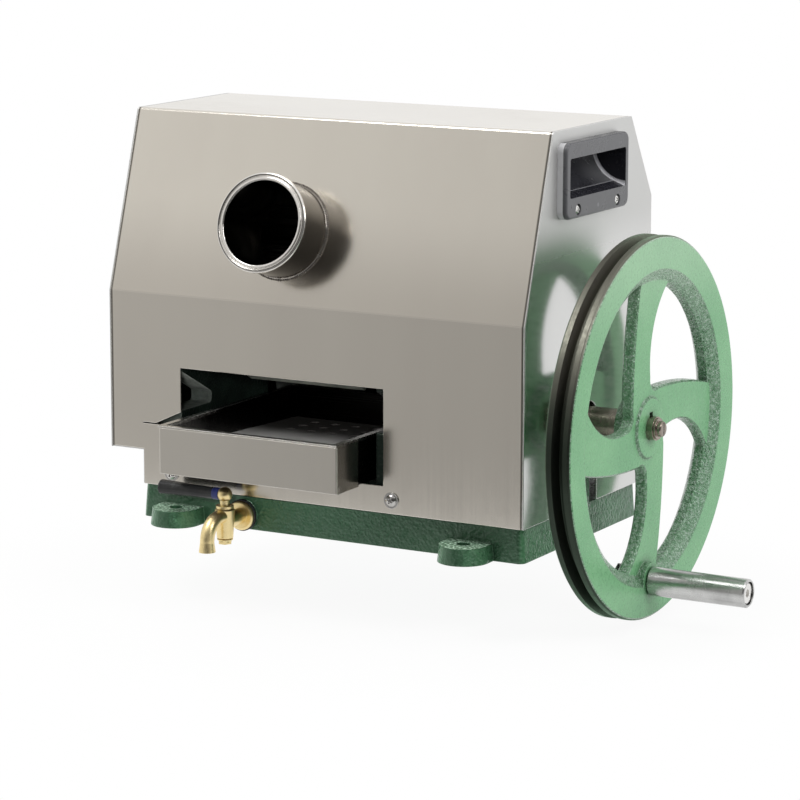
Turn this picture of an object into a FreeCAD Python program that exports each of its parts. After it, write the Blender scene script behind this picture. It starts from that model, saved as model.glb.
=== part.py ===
import FreeCAD, Part
import math
import os
from FreeCAD import Vector, Rotation

# Bench-mounted, hand-cranked three-roller sugarcane juicer.
# Frame: X to the right (the handwheel side), Y to the back, Z up, millimetres.
# Origin: centre of the four foot bolts, on the underside of the base casting.

os.makedirs("parts", exist_ok=True)

# ---------------------------------------------------------------- driving dimensions
sheet = 1.2                   # thickness of every stainless sheet
press_gap = 0.02              # between two seated round pieces of one body
running_gap = 0.05            # radial clearance of shafts and pins
seat_gap = 0.3                # between a moving piece and what it rests on or beside

# base casting
base_middle = 3.5             # along X, from the centre of the foot bolts
base_length = 352.0           # along X
base_depth = 206.0            # along Y
base_height = 27.0
base_draft = 1.5              # how much each side leans in from bottom to top
base_corner = 5.5
foot_pitch_x = 266.0
foot_pitch_y = 227.0
foot_radius = 20.0
foot_height = 13.5
foot_hole_radius = 5.5
foot_root = 10.0              # how far each ear reaches back into the base
tap_boss_root = 10.0          # and the tap's boss
basin_length = 150.0
basin_depth = 150.0
basin_floor = 5.0
basin_centre_y = -13.0
basin_corner = 12.0
hollow_wall = 10.0
hollow_roof = 10.0
hollow_gap = 3.0              # between the right frame and the hollow under the base

# hood
hood_reach_left = 24.0        # how far the hood stands out past the base casting
hood_reach_right = 4.7
hood_reach_front = 9.0
hood_bottom = 29.7
hood_crease = 188.0           # front: where the upright sheet starts to lean back
hood_top = 333.0
hood_top_front = -67.0
hood_top_back = 72.0
hood_back_crease = 265.0
hood_bend = 3.0               # outer radius of the sheet's bends
hood_flange = 10.0            # width of the side panels' folded welding flange
step_left = -165.8            # left side panel steps in to here below step_height
step_height = 57.6
slot_half_width = 16.5        # slot for the drive shaft in the right side panel
opening_left = -128.4
opening_right = 60.2
opening_bottom = 51.3
opening_top = 128.8
relief_left = -165.1          # narrow relief slot beside the front opening
relief_corner = -152.8        # here the relief widens towards the opening
relief_height = 80.0
relief_width = 1.1
relief_reach = 92.3           # height at which it meets the opening's side
hood_screw_middle = -35.0
hood_screw_reach = 102.7      # from hood_screw_middle to each screw
hood_screw_height = 40.6
hood_screw_radius = 2.5
screw_depth = 12.0
screw_boss = 7.0              # radius of the frames' bosses for these screws
hood_screw_head_radius = 4.6
hood_screw_head_height = 2.6
hood_washer_radius = 6.5
hood_washer = 0.9
hood_slot_half_width = 0.6
hood_slot_depth = 1.2
outlet_half_width = 75.0      # bagasse outlet in the back of the hood
outlet_bottom = 165.0
outlet_top = 215.0
chute_reach = 40.0
chute_drop = 22.0
chute_side = 30.0
chute_border = 9.0
chute_end_share = 0.5         # height of the chute's sides at their end, of that at the hood

# milling rollers and their gears
mill_middle = -39.5           # middle of the feed, rollers and tray along X
roller_half_length = 88.0
roller_radius = 29.4
flute_count = 24
flute_depth = 1.6
flute_turns = (-0.78, 0.42, 0.66, 0.98)    # land's two ends and groove's two, in half pitches
journal_radius = 11.0
journal_recess = 1.0          # the journals end this far inside the right bosses
top_to_lower = 60.0           # distance between the top axis and each lower axis
lower_spread = 72.0           # distance between the two lower axes
roller_teeth = 15
roller_module = 4.0
roller_gear_width = 22.0
roller_gear_gap = 3.0         # beside the left bosses
end_washer = 2.0              # washers and hexagon screws on the ends of the journals
end_washer_wall = 3.0
end_screw_flats = 13.0
end_screw_height = 3.8
turner_gap = 2.2              # between the turner plate and each roller
turner_half_width = 11.0
turner_below = 24.0           # from the lower rollers' axes down to its foot
bush_wall = 4.0
bush_flange_wall = 3.0
bush_flange = 2.7
pressure_angle = math.radians(25.0)
backlash = 0.35               # thinning of every tooth at the pitch circle
dedendum = 1.25               # depth of a tooth's root, in modules
flank_shares = (0.0, 0.3, 0.65, 1.0)       # points along each involute flank

# reduction gears between the handwheel shaft and the rear roller
pinion_teeth = 16
bull_teeth = 52
drive_module = 3.0
rear_roller_y = 24.0
pinion_width = 24.0
bull_gap = 4.0                # between the right bosses and the large gear
bull_width = 20.0
bull_web = 8.0
bull_hub_radius = 20.0
bull_rim_wall = 8.0
bull_hole_count = 5
bull_hole_radius = 12.0

# side frames
frame_thickness = 20.0
frame_inside = 91.0           # from mill_middle to each frame's inner face
frame_foot = 14.0             # how far each frame's foot reaches out over the base
frame_foot_height = 10.0
frame_foot_front = -96.0
frame_foot_back = 94.0
frame_corner = 3.0
frame_round = 18.0
crown_round = 16.0
crown_wall = 9.0              # casting above the top roller's boss
crown_side = 6.0              # and beside it
head_wall = 12.0              # casting beside the lower rollers' bosses
rear_head_rise = 22.0         # the casting starts to slope in this far above the lower axes
front_head_rise = 8.0
rear_knee_reach = 62.0        # from the rear roller's axis back to the knee
rear_knee_drop = 40.0         # and down to it
jaw_front = -107.5            # low jaw of each frame, beside the tray
jaw_low = 40.0
jaw_top = 92.5
throat_front = -107.5         # sloping underside of each frame above the jaw
throat_top = 125.3
throat_back = -62.0
throat_low = 101.8
throat_corner = 4.0
jaw_corner = 2.0
frame_window_front = 24.0     # opening in the foot of each side frame
frame_window_back = 78.0
frame_window_low = 62.0
frame_window_high = 128.0
frame_window_lean_front = 6.0
frame_window_lean_back = 16.0
frame_window_corner = 9.0
left_boss = 11.0
right_boss = 3.0
boss_wall = 9.0
rail_width = 12.0
rail_height = 5.0
rail_front = -100.0
rail_back = 70.0
frame_bolt_radius = 4.0
frame_bolt_flats = 12.0
frame_bolt_depth = 12.0       # into the base
frame_bolt_inset = 12.0       # from the ends of the frames' feet
bolt_head_height = 5.0
bolt_hole_spare = 2.0         # every bolt's hole is this much deeper than the bolt
tie_bar_front = -72.0
tie_bar_depth = 20.0
tie_bar_bottom = 130.0
tie_bar_height = 18.0
tie_bar_corner = 3.0
tie_lip_front_drop = 8.0      # the lip's lower edge slopes down to the back
tie_lip_back_drop = 16.0
tie_lip_depth = 13.5
tie_lip_wall = 3.5
tie_lip_half_length = 53.5
rear_bar_y = 78.0
rear_bar_z = 130.0
rear_bar_size = 14.0
tie_bolt_flats = 14.0
tie_bolt_depth = 18.0         # into the ends of the bars

# handwheel, shaft and crank
shaft_height = 96.3
shaft_radius = 12.5
shaft_end_radius = 9.5
shaft_inner_end = 52.5
shaft_bush_wall = 3.5
shaft_boss_wall = 8.0
bearing_wall = 7.0            # of the pillar's bearing boss
shaft_proud = 1.5             # how far the shaft stands out of the wheel's face plane
pillar_half_width = 13.0
pillar_outer = 179.5
pillar_inner = 131.5
pillar_shoulder = 58.0
pillar_slope = 18.0           # height over which the pillar narrows to its boss
pillar_round = 4.0
pillar_boss_right = 166.5
pillar_boss_left = 139.5
wheel_face = 242.9            # outer face of the rim
wheel_radius = 152.2
wheel_width = 21.5
rim_depth = 26.2              # from the wheel's edge in to the rim's inner edge
rim_slope = 9.0               # from there in to the web
web_front_depth = 6.0         # from the rim's face down to the web
web_thickness = 10.0
groove_mouth = 9.5
groove_floor = 4.5
groove_depth = 9.0
hub_radius = 23.5
hub_face_depth = 3.9          # from the rim's face down to the hub's face
hub_back = 4.0                # how far the hub stands behind the rim
hub_step = 1.6                # slope from the web up to the hub's face
rim_edge = 1.8                # chamfer of the rim's outer edges
window_edge = 1.5             # chamfer round the web's windows
window_draft = 0.6            # how much the windows widen towards the wheel's face
window_rim_gap = 1.5          # from the web's edge in to the windows
window_root_side = 3.8        # the window's corner by the hub: its start, middle and end ...
window_arc_side = 6.4
window_foot_side = 17.0
window_root_rise = 16.5       # ... and out from it
window_arc_rise = 9.9
window_foot_rise = 7.0
window_low_bow = (0.547, 0.241)    # middles of the two curved spoke edges, as shares of
window_high_bow = (0.060, 0.650)   # the web's radius
window_low_angle = math.radians(9.5)
window_middle_angle = math.radians(41.0)
window_high_angle = math.radians(72.5)
key_width = 6.0
key_rise = 3.2
key_end = 5.0                 # the key and keyway end this far behind the hub's face
key_gap = 0.05
hub_screw_radius = 3.0
hub_screw_depth = 12.0
hub_washer = 1.6
hub_head_radius = 6.2
hub_head_height = 4.2
hub_head_round = 1.6
hub_slot_half_width = 0.7
hub_slot_depth = 1.6
crank_inset = 29.5            # from the wheel's edge in to the crank's axis
crank_offset = -3.0           # the crank hole lies this far to the front of the axis
crank_boss_radius = 15.0
crank_pin_radius = 6.0
grip_radius = 11.5
grip_length = 83.5
grip_counterbore = 9.3
grip_counterbore_depth = 6.0
grip_edge = 1.0
crank_head_gap = 1.3          # round the pin's head, inside the counterbore
crank_head_height = 4.5
crank_socket_flats = 6.0
crank_socket_depth = 2.5
crank_nut_flats = 19.0
crank_nut_height = 8.0

# feed tube
tube_height = 244.3           # where its axis meets the sloping sheet
tube_radius = 38.0
tube_wall = 2.0
tube_length = 39.3            # outside the sloping sheet
tube_inside = 24.0            # behind the sloping sheet
outer_bead = 3.6              # depth of the two rolled beads at the mouth
inner_bead = 2.6
bead_proud = 2.2              # how far they stand out of and into the tube
bead_groove = 0.9
collar_radius = 39.6          # weld bead where the tube meets the sheet
collar_height = 1.2

# juice tray
tray_left = -121.5
tray_right = 43.1
tray_front = -155.0
tray_back = 55.0
tray_height = 37.3
tray_rim = 5.5
tray_hem = 4.0
tray_return = 34.0            # how far the front panel wraps along the sides
tray_hang = 1.2               # how far the front panel hangs below the tray's floor
strainer_depth = 19.0         # below the tray's rim, at the front
strainer_fall = 8.0
strainer_hole_radius = 4.0
strainer_columns = 6
strainer_rows = 3
strainer_pitch = 20.0
strainer_gap = 0.5            # round the strainer plate, inside the tray
strainer_hole_back = 18.0     # from its back edge to the first row of holes
tray_round = 1.5              # outer corners of the hem
panel_round = 1.0             # folded corners of the front panel
drain_radius = 12.0

# tap
tap_x = -74.9
tap_height = 11.6
tap_shank_radius = 6.4
tap_boss_radius = 12.4
tap_boss_proud = 0.8          # the boss's flat face stands just proud of the base's draft
tap_flange_radius = 12.0
tap_flange = 3.0
tap_flange_round = 1.8
tap_bore_radius = 4.3
tap_shank_inside = 7.5        # how far the shank reaches into the basin
tap_nut_flats = 14.4
tap_nut_thickness = 5.0
tap_nut_washer_radius = 8.6
tap_nut_washer = 1.2
gasket_radius = 12.9
gasket_thickness = 2.5
tap_neck_radius = 6.6
tap_reach = 24.9              # from the flange's seat to the plug axis
barrel_radius = 8.1           # at the top; the barrel tapers to its foot
barrel_foot_radius = 6.6
barrel_top = 22.3
barrel_bottom = -2.5
barrel_edge = 1.0
plug_radius = 5.0
plug_gap = 0.10               # radial clearance of the turning plug
plug_foot = 2.5               # how far the plug stands out under the barrel
plug_shoulder_radius = 7.2
plug_shoulder = 2.2
plug_nut_flats = 10.0
plug_nut_height = 4.0
plug_washer_radius = 6.4
plug_washer = 0.9
plug_hole_radius = 3.4
spout_radius = 5.7            # along the bend
spout_lip_radius = 6.8        # at the outlet
spout_wall = 1.6
spout_bend = 17.0
spout_lead = 9.8              # from the plug axis to the start of the bend
spout_rise = 4.9              # the spout leaves the barrel this far above the inlet
spout_end = -8.2
ball_height = 33.7
ball_radius = 6.1
lever_inner = 4.0             # from the plug axis to the coloured collar
lever_outer = 60.5
lever_inner_radius = 4.7
lever_outer_radius = 6.1
lever_collar = 5.8            # length of the coloured collar
lever_tang_radius = 3.0
lever_tang_depth = 12.0       # how far the tang reaches into the lever
lever_end_round = 0.8
collar_proud = 0.3            # the collar is this much thicker than the lever's root

# carrying handles
handle_half_length = 55.4
handle_middle_y = -4.6
handle_bottom = 264.1
handle_top = 323.6
handle_proud = 8.4
handle_corner = 7.0
handle_round = 2.0
grasp_low_wall = 16.3         # from the handle's edges to the finger opening
grasp_high_wall = 12.2
grasp_end_wall = 5.8
scoop_radius = 29.0           # the finger cup is a quarter round about the opening's upper edge
lip_depth = 10.0              # the cup's lower edge slopes out over this depth
cup_round = 2.0               # between the cup's floor and its end walls
cup_wall = 2.0
cup_gap = 0.1                 # between the cup and the edge of the panel's cut-out
cup_corner = 3.0
cup_collar = 5.0              # fills the cut-out behind the panel's face
handle_screw_inset = 20.4     # from the handle's ends to its screws
handle_screw_rise = 6.7       # from its lower edge up to them
handle_screw_radius = 2.0
handle_screw_depth = 8.0      # behind the panel
handle_sink_radius = 4.6
handle_sink_depth = 2.4
handle_head_radius = 4.0
handle_head_height = 2.2
handle_slot_half_width = 0.5
handle_slot_depth = 1.0

# ---------------------------------------------------------------- worked-out places
base_front = -base_depth / 2
base_left = base_middle - base_length / 2
base_right = base_middle + base_length / 2
hood_left = base_left - hood_reach_left
hood_right = base_right + hood_reach_right
hood_half_depth = base_depth / 2 + hood_reach_front
half_lower = lower_spread / 2
top_rise = math.sqrt(top_to_lower ** 2 - half_lower ** 2)
top_roller_y = rear_roller_y - half_lower
front_roller_y = rear_roller_y - lower_spread
drive_distance = drive_module * (pinion_teeth + bull_teeth) / 2
lower_height = shaft_height + math.sqrt(drive_distance ** 2 - rear_roller_y ** 2)
top_height = lower_height + top_rise
roller_axes = {"top": (top_roller_y, top_height),
               "front": (front_roller_y, lower_height),
               "rear": (rear_roller_y, lower_height)}
left_inner = mill_middle - frame_inside
left_outer = left_inner - frame_thickness
right_inner = mill_middle + frame_inside
right_outer = right_inner + frame_thickness
left_boss_end = left_outer - left_boss
right_boss_end = right_outer + right_boss
bush_radius = journal_radius + bush_wall
roller_gear_right = left_boss_end - roller_gear_gap
roller_gear_left = roller_gear_right - roller_gear_width
bull_left = right_boss_end + bull_gap
bull_right = bull_left + bull_width
shaft_bush_radius = shaft_radius + shaft_bush_wall
pinion_left = bull_left - (pinion_width - bull_width) / 2
hood_front = -hood_half_depth
hood_back = hood_half_depth
lean = math.atan2(hood_top_front - hood_front, hood_top - hood_crease)
tray_bottom = opening_bottom + seat_gap
tray_top = tray_bottom + tray_height
wheel_back = wheel_face - wheel_width
web_front = wheel_face - web_front_depth
web_back = web_front - web_thickness
hub_front = wheel_face - hub_face_depth
hub_rear = wheel_back - hub_back
rim_inner_radius = wheel_radius - rim_depth
web_outer_radius = rim_inner_radius - rim_slope
crank_radius = wheel_radius - crank_inset
crank_height = shaft_height - crank_radius
shaft_end = wheel_face + shaft_proud
key_floor = shaft_height + shaft_end_radius - key_rise / 2
basin_front = basin_centre_y - basin_depth / 2
tap_seat = base_front - tap_boss_proud
plug_y = tap_seat - gasket_thickness - tap_reach
frame_bolt_x = (left_outer - frame_foot / 2, right_outer + frame_foot / 2)
frame_bolt_y = (frame_foot_front + frame_bolt_inset, frame_foot_back - frame_bolt_inset)
front_bar_bolt = (tie_bar_front + tie_bar_depth / 2, tie_bar_bottom + tie_bar_height / 2)
rear_bar_bolt = (rear_bar_y, rear_bar_z)
grasp_bottom = handle_bottom + grasp_low_wall
grasp_top = handle_top - grasp_high_wall
grasp_half_length = handle_half_length - grasp_end_wall
handle_screw_height = handle_bottom + handle_screw_rise
handle_screw_reach = handle_half_length - handle_screw_inset
hood_screw_places = [hood_screw_middle - hood_screw_reach, hood_screw_middle + hood_screw_reach]


# ---------------------------------------------------------------- helpers
def rounded_outline(corners, radii):
    """Edges of a closed outline in a plane, as (u, v) lines and three-point arcs."""
    count = len(corners)
    spans = []
    for i in range(count):
        before, here, after = corners[i - 1], corners[i], corners[(i + 1) % count]
        radius = radii[i] if isinstance(radii, (list, tuple)) else radii
        if radius <= 0:
            spans.append((here, None, here))
            continue
        a = (before[0] - here[0], before[1] - here[1])
        b = (after[0] - here[0], after[1] - here[1])
        la, lb = math.hypot(*a), math.hypot(*b)
        a = (a[0] / la, a[1] / la)
        b = (b[0] / lb, b[1] / lb)
        half = math.acos(max(-1.0, min(1.0, a[0] * b[0] + a[1] * b[1]))) / 2
        reach = radius / math.tan(half)
        middle = (a[0] + b[0], a[1] + b[1])
        lm = math.hypot(*middle)
        depth = radius / math.sin(half) - radius
        spans.append(((here[0] + a[0] * reach, here[1] + a[1] * reach),
                      (here[0] + middle[0] / lm * depth, here[1] + middle[1] / lm * depth),
                      (here[0] + b[0] * reach, here[1] + b[1] * reach)))
    return spans


def outline_wire(spans, place):
    """A wire from rounded_outline's spans; place turns (u, v) into a point in space."""
    edges = []
    for i, (start, bend, end) in enumerate(spans):
        if bend is not None:
            edges.append(Part.Arc(place(*start), place(*bend), place(*end)).toShape())
        following = spans[(i + 1) % len(spans)][0]
        if math.hypot(following[0] - end[0], following[1] - end[1]) > 1e-6:
            edges.append(Part.LineSegment(place(*end), place(*following)).toShape())
    return Part.Wire(edges)


def prism_x(corners, radii, x0, x1):
    """Solid between x0 and x1 with a (y, z) outline."""
    wire = outline_wire(rounded_outline(corners, radii), lambda u, v: Vector(x0, u, v))
    return Part.Face(wire).extrude(Vector(x1 - x0, 0, 0))


def prism_y(corners, radii, y0, y1):
    """Solid between y0 and y1 with an (x, z) outline."""
    wire = outline_wire(rounded_outline(corners, radii), lambda u, v: Vector(u, y0, v))
    return Part.Face(wire).extrude(Vector(0, y1 - y0, 0))


def prism_z(corners, radii, z0, z1):
    """Solid between z0 and z1 with an (x, y) outline."""
    wire = outline_wire(rounded_outline(corners, radii), lambda u, v: Vector(u, v, z0))
    return Part.Face(wire).extrude(Vector(0, 0, z1 - z0))


def rectangle(u0, u1, v0, v1):
    return [(u0, v0), (u1, v0), (u1, v1), (u0, v1)]


def box(x0, x1, y0, y1, z0, z1):
    return Part.makeBox(x1 - x0, y1 - y0, z1 - z0, Vector(x0, y0, z0))


def rod_x(radius, x0, x1, y, z):
    return Part.makeCylinder(radius, x1 - x0, Vector(x0, y, z), Vector(1, 0, 0))


def rod_y(radius, y0, y1, x, z):
    return Part.makeCylinder(radius, y1 - y0, Vector(x, y0, z), Vector(0, 1, 0))


def rod_z(radius, z0, z1, x, y):
    return Part.makeCylinder(radius, z1 - z0, Vector(x, y, z0), Vector(0, 0, 1))


def hexagon(across_flats, start, direction, height):
    """Hexagonal prism, such as a bolt head or a nut."""
    corner = across_flats / math.sqrt(3)
    points = [Vector(corner * math.cos(math.radians(60 * i)), corner * math.sin(math.radians(60 * i)), 0)
              for i in range(6)]
    solid = Part.Face(Part.makePolygon(points + points[:1])).extrude(Vector(0, 0, height))
    solid.Placement = FreeCAD.Placement(start, Rotation(Vector(0, 0, 1), direction))
    return solid


def fuse(first, *rest):
    return first.fuse(list(rest)).removeSplitter()


def cut(first, *rest):
    return first.cut(list(rest))


def inset(corners, distance):
    """The outline moved inwards by a distance; corners run anticlockwise."""
    lines = []
    count = len(corners)
    for i in range(count):
        p, q = corners[i], corners[(i + 1) % count]
        length = math.hypot(q[0] - p[0], q[1] - p[1])
        normal = (-(q[1] - p[1]) / length, (q[0] - p[0]) / length)
        lines.append((normal, normal[0] * p[0] + normal[1] * p[1] + distance))
    moved = []
    for i in range(count):
        (n1, c1), (n2, c2) = lines[i - 1], lines[i]
        det = n1[0] * n2[1] - n1[1] * n2[0]
        moved.append(((c1 * n2[1] - c2 * n1[1]) / det, (n1[0] * c2 - n2[0] * c1) / det))
    return moved


# ---------------------------------------------------------------- gears
def gear_outline(teeth, module, phase):
    """Corner points of an involute gear about the origin, one tooth centred on phase."""
    pitch = module * teeth / 2
    base = pitch * math.cos(pressure_angle)
    tip = pitch + module
    root = pitch - dedendum * module
    half_tooth = math.pi / (2 * teeth) - backlash / (2 * pitch)

    def involute(angle):
        return math.tan(angle) - angle

    def half_angle(radius):
        if radius <= base:
            return half_tooth + involute(pressure_angle)
        return half_tooth + involute(pressure_angle) - involute(math.acos(base / radius))

    flank_start = max(base, root)
    flank = [root] if root < base else []
    flank += [flank_start + (tip - flank_start) * share for share in flank_shares]
    points = []
    for tooth in range(teeth):
        middle = phase + 2 * math.pi * tooth / teeth
        for radius in flank:
            angle = middle - half_angle(radius)
            points.append((radius * math.cos(angle), radius * math.sin(angle)))
        for radius in reversed(flank):
            angle = middle + half_angle(radius)
            points.append((radius * math.cos(angle), radius * math.sin(angle)))
    return points


def meshing_phase(phase, teeth, other_teeth, direction):
    """Phase of a second gear, in the given direction, in mesh with a first one."""
    return direction + math.pi - (phase - direction) * teeth / other_teeth + math.pi / other_teeth


def gear_blank(teeth, module, phase, x0, x1, axis):
    y, z = axis
    points = [(y + u, z + v) for u, v in gear_outline(teeth, module, phase)]
    return prism_x(points, 0, x0, x1)


def direction_between(first, second):
    return math.atan2(second[1] - first[1], second[0] - first[0])


shaft_axis = (0.0, shaft_height)
drive_direction = direction_between(shaft_axis, roller_axes["rear"])
rear_to_top = direction_between(roller_axes["rear"], roller_axes["top"])
top_to_front = direction_between(roller_axes["top"], roller_axes["front"])
pinion_phase = drive_direction
bull_phase = meshing_phase(pinion_phase, pinion_teeth, bull_teeth, drive_direction)
roller_phase = {"rear": rear_to_top}
roller_phase["top"] = meshing_phase(roller_phase["rear"], roller_teeth, roller_teeth, rear_to_top)
roller_phase["front"] = meshing_phase(roller_phase["top"], roller_teeth, roller_teeth, top_to_front)


# ---------------------------------------------------------------- base casting
def leaning_block(outline_low, outline_high, radius, z0, z1):
    low = outline_wire(rounded_outline(outline_low, radius), lambda u, v: Vector(u, v, z0))
    high = outline_wire(rounded_outline(outline_high, radius), lambda u, v: Vector(u, v, z1))
    return Part.makeLoft([low, high], True, True)


def foot_lug(side_x, side_y):
    """One rounded ear with a bolt hole, reaching from the foot bolt back into the base."""
    x = side_x * foot_pitch_x / 2
    y = side_y * foot_pitch_y / 2
    inner = side_y * (base_depth / 2 - foot_root)

    def ear(radius, z):
        points = [Vector(x - radius, inner, z), Vector(x - radius, y, z),
                  Vector(x, y + side_y * radius, z), Vector(x + radius, y, z),
                  Vector(x + radius, inner, z)]
        return Part.Wire([Part.LineSegment(points[0], points[1]).toShape(),
                          Part.Arc(points[1], points[2], points[3]).toShape(),
                          Part.LineSegment(points[3], points[4]).toShape(),
                          Part.LineSegment(points[4], points[0]).toShape()])

    lean_in = base_draft / 2
    return Part.makeLoft([ear(foot_radius + lean_in, 0), ear(foot_radius - lean_in, foot_height)], True, True)


def make_base_casting():
    half_y = base_depth / 2
    body = leaning_block(rectangle(base_left, base_right, -half_y, half_y),
                         rectangle(base_left + base_draft, base_right - base_draft,
                                   -half_y + base_draft, half_y - base_draft),
                         base_corner, 0, base_height)
    lugs = [foot_lug(sx, sy) for sx in (-1, 1) for sy in (-1, 1)]
    boss = rod_y(tap_boss_radius, tap_seat, base_front + tap_boss_root, tap_x, tap_height)
    boss = boss.common(box(base_left, base_right, tap_seat, half_y, 0, base_height))
    # shaft pillar at the wheel end, with its bearing boss
    pillar = prism_y([(pillar_inner, base_height - 2), (pillar_outer, base_height - 2),
                      (pillar_outer, pillar_shoulder), (pillar_boss_right, pillar_shoulder + pillar_slope),
                      (pillar_boss_right, shaft_height), (pillar_boss_left, shaft_height),
                      (pillar_boss_left, pillar_shoulder + pillar_slope)],
                     [0, 0, pillar_round, pillar_round, 0, 0, pillar_round],
                     -pillar_half_width, pillar_half_width)
    bearing = rod_x(shaft_bush_radius + bearing_wall, pillar_boss_left, pillar_boss_right, 0, shaft_height)
    body = fuse(body, *lugs, boss, pillar, bearing)
    basin = prism_z(rectangle(mill_middle - basin_length / 2, mill_middle + basin_length / 2,
                              basin_front, basin_front + basin_depth),
                    basin_corner, basin_floor, base_height + 1)
    hollow = prism_z(rectangle(right_outer + hollow_gap, base_right - hollow_wall,
                               -half_y + hollow_wall, half_y - hollow_wall),
                     hollow_wall, -1, base_height - hollow_roof)
    holes = [rod_z(foot_hole_radius, -1, foot_height + 1, sx * foot_pitch_x / 2, sy * foot_pitch_y / 2)
             for sx in (-1, 1) for sy in (-1, 1)]
    holes.append(rod_y(tap_shank_radius + press_gap, tap_seat - 1, basin_front + 1, tap_x, tap_height))
    holes.append(rod_x(shaft_bush_radius + press_gap, pillar_boss_left - 1, pillar_boss_right + 1,
                       0, shaft_height))
    for x in frame_bolt_x:
        for y in frame_bolt_y:
            holes.append(rod_z(frame_bolt_radius + press_gap,
                               base_height - frame_bolt_depth - bolt_hole_spare, base_height + 1, x, y))
    return cut(body, basin, hollow, *holes)


# ---------------------------------------------------------------- side frames and tie bars
def side_frame_plate(x0, x1):
    """The flat of a side frame: low jaw beside the tray, throat, and the bearing head above."""
    boss_radius = bush_radius + boss_wall
    crown_top = top_height + boss_radius + crown_wall
    crown_half = boss_radius + crown_side
    head_half = boss_radius + head_wall
    outline = [(frame_foot_front, base_height, frame_corner),
               (frame_foot_back, base_height, frame_corner),
               (rear_roller_y + rear_knee_reach, lower_height - rear_knee_drop, frame_round),
               (rear_roller_y + head_half, lower_height + rear_head_rise, frame_round),
               (top_roller_y + crown_half, crown_top, crown_round),
               (top_roller_y - crown_half, crown_top, crown_round),
               (front_roller_y - head_half, lower_height + front_head_rise, frame_round),
               (throat_front, throat_top, jaw_corner), (throat_back, throat_low, throat_corner),
               (throat_back, jaw_top, throat_corner), (jaw_front, jaw_top, jaw_corner),
               (jaw_front, jaw_low, frame_corner)]
    return prism_x([(y, z) for y, z, radius in outline], [radius for y, z, radius in outline], x0, x1)


def make_side_frame(inner, outer, boss_end, rail_side, with_shaft):
    """Cast side frame with the bushes' bosses, a foot outside, a tray rail and hood bosses."""
    x0, x1 = min(inner, outer), max(inner, outer)
    plate = side_frame_plate(x0, x1)
    b0, b1 = min(outer, boss_end), max(outer, boss_end)
    extras = [rod_x(bush_radius + boss_wall, b0, b1, y, z) for y, z in roller_axes.values()]
    foot_out = outer + math.copysign(frame_foot, outer - inner)
    extras.append(box(min(outer, foot_out), max(outer, foot_out), frame_foot_front, frame_foot_back,
                      base_height, base_height + frame_foot_height))
    rail_end = inner + rail_side * rail_width
    extras.append(box(min(inner, rail_end), max(inner, rail_end), rail_front, rail_back,
                      opening_bottom - rail_height, opening_bottom))
    if with_shaft:
        extras.append(rod_x(shaft_bush_radius + shaft_boss_wall, b0, b1, 0, shaft_height))
    # bosses behind the hood sheet that take its screws
    screw_x = [x for x in hood_screw_places if x0 < x < x1][0]
    reach = hood_half_depth - sheet
    extras.append(rod_y(screw_boss, -reach, frame_foot_front, screw_x, hood_screw_height))
    extras.append(rod_y(screw_boss, frame_foot_back - screw_boss, reach, screw_x, hood_screw_height))
    low_side = prism_x([(frame_window_front, frame_window_low), (frame_window_back, frame_window_low),
                        (frame_window_back - frame_window_lean_back, frame_window_high),
                        (frame_window_front + frame_window_lean_front, frame_window_high)],
                       frame_window_corner, x0 - 1, x1 + 1)
    through = (min(x0, b0) - 1, max(x1, b1) + 1)
    holes = [rod_x(bush_radius + press_gap, *through, y, z) for y, z in roller_axes.values()]
    if with_shaft:
        holes.append(rod_x(shaft_bush_radius + press_gap, *through, 0, shaft_height))
    for y, z in (front_bar_bolt, rear_bar_bolt):
        holes.append(rod_x(frame_bolt_radius + press_gap, x0 - 1, x1 + 1, y, z))
    for start in (-reach - 1, reach - screw_depth):
        holes.append(rod_y(hood_screw_radius + press_gap, start, start + screw_depth + 1,
                           screw_x, hood_screw_height))
    bolt_x = frame_bolt_x[1] if with_shaft else frame_bolt_x[0]
    for y in frame_bolt_y:
        holes.append(rod_z(frame_bolt_radius + press_gap, base_height - 1,
                           base_height + frame_foot_height + 1, bolt_x, y))
    return cut(fuse(plate, *extras), low_side, *holes)


def tie_bar_bolt_holes(y, z):
    depth = tie_bolt_depth + bolt_hole_spare
    return [rod_x(frame_bolt_radius + press_gap, left_inner - 1, left_inner + depth, y, z),
            rod_x(frame_bolt_radius + press_gap, right_inner - depth, right_inner + 1, y, z)]


def make_front_tie_bar():
    """Cast cross bar whose lower lip slopes down to the back, above the tray."""
    bar = prism_x(rectangle(tie_bar_front, tie_bar_front + tie_bar_depth,
                            tie_bar_bottom, tie_bar_bottom + tie_bar_height),
                  tie_bar_corner, left_inner, right_inner)
    lip_back = tie_bar_front + tie_lip_depth
    overlap = tie_bar_bottom + tie_bar_corner
    lip = prism_x([(tie_bar_front, tie_bar_bottom - tie_lip_front_drop),
                   (lip_back, tie_bar_bottom - tie_lip_back_drop),
                   (lip_back + tie_lip_wall, overlap), (tie_bar_front, overlap)],
                  [jaw_corner, jaw_corner, 0, 0],
                  mill_middle - tie_lip_half_length, mill_middle + tie_lip_half_length)
    return cut(fuse(bar, lip), *tie_bar_bolt_holes(*front_bar_bolt))


def make_rear_tie_bar():
    half = rear_bar_size / 2
    bar = prism_x(rectangle(rear_bar_y - half, rear_bar_y + half, rear_bar_z - half, rear_bar_z + half),
                  jaw_corner, left_inner, right_inner)
    return cut(bar, *tie_bar_bolt_holes(*rear_bar_bolt))


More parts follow.
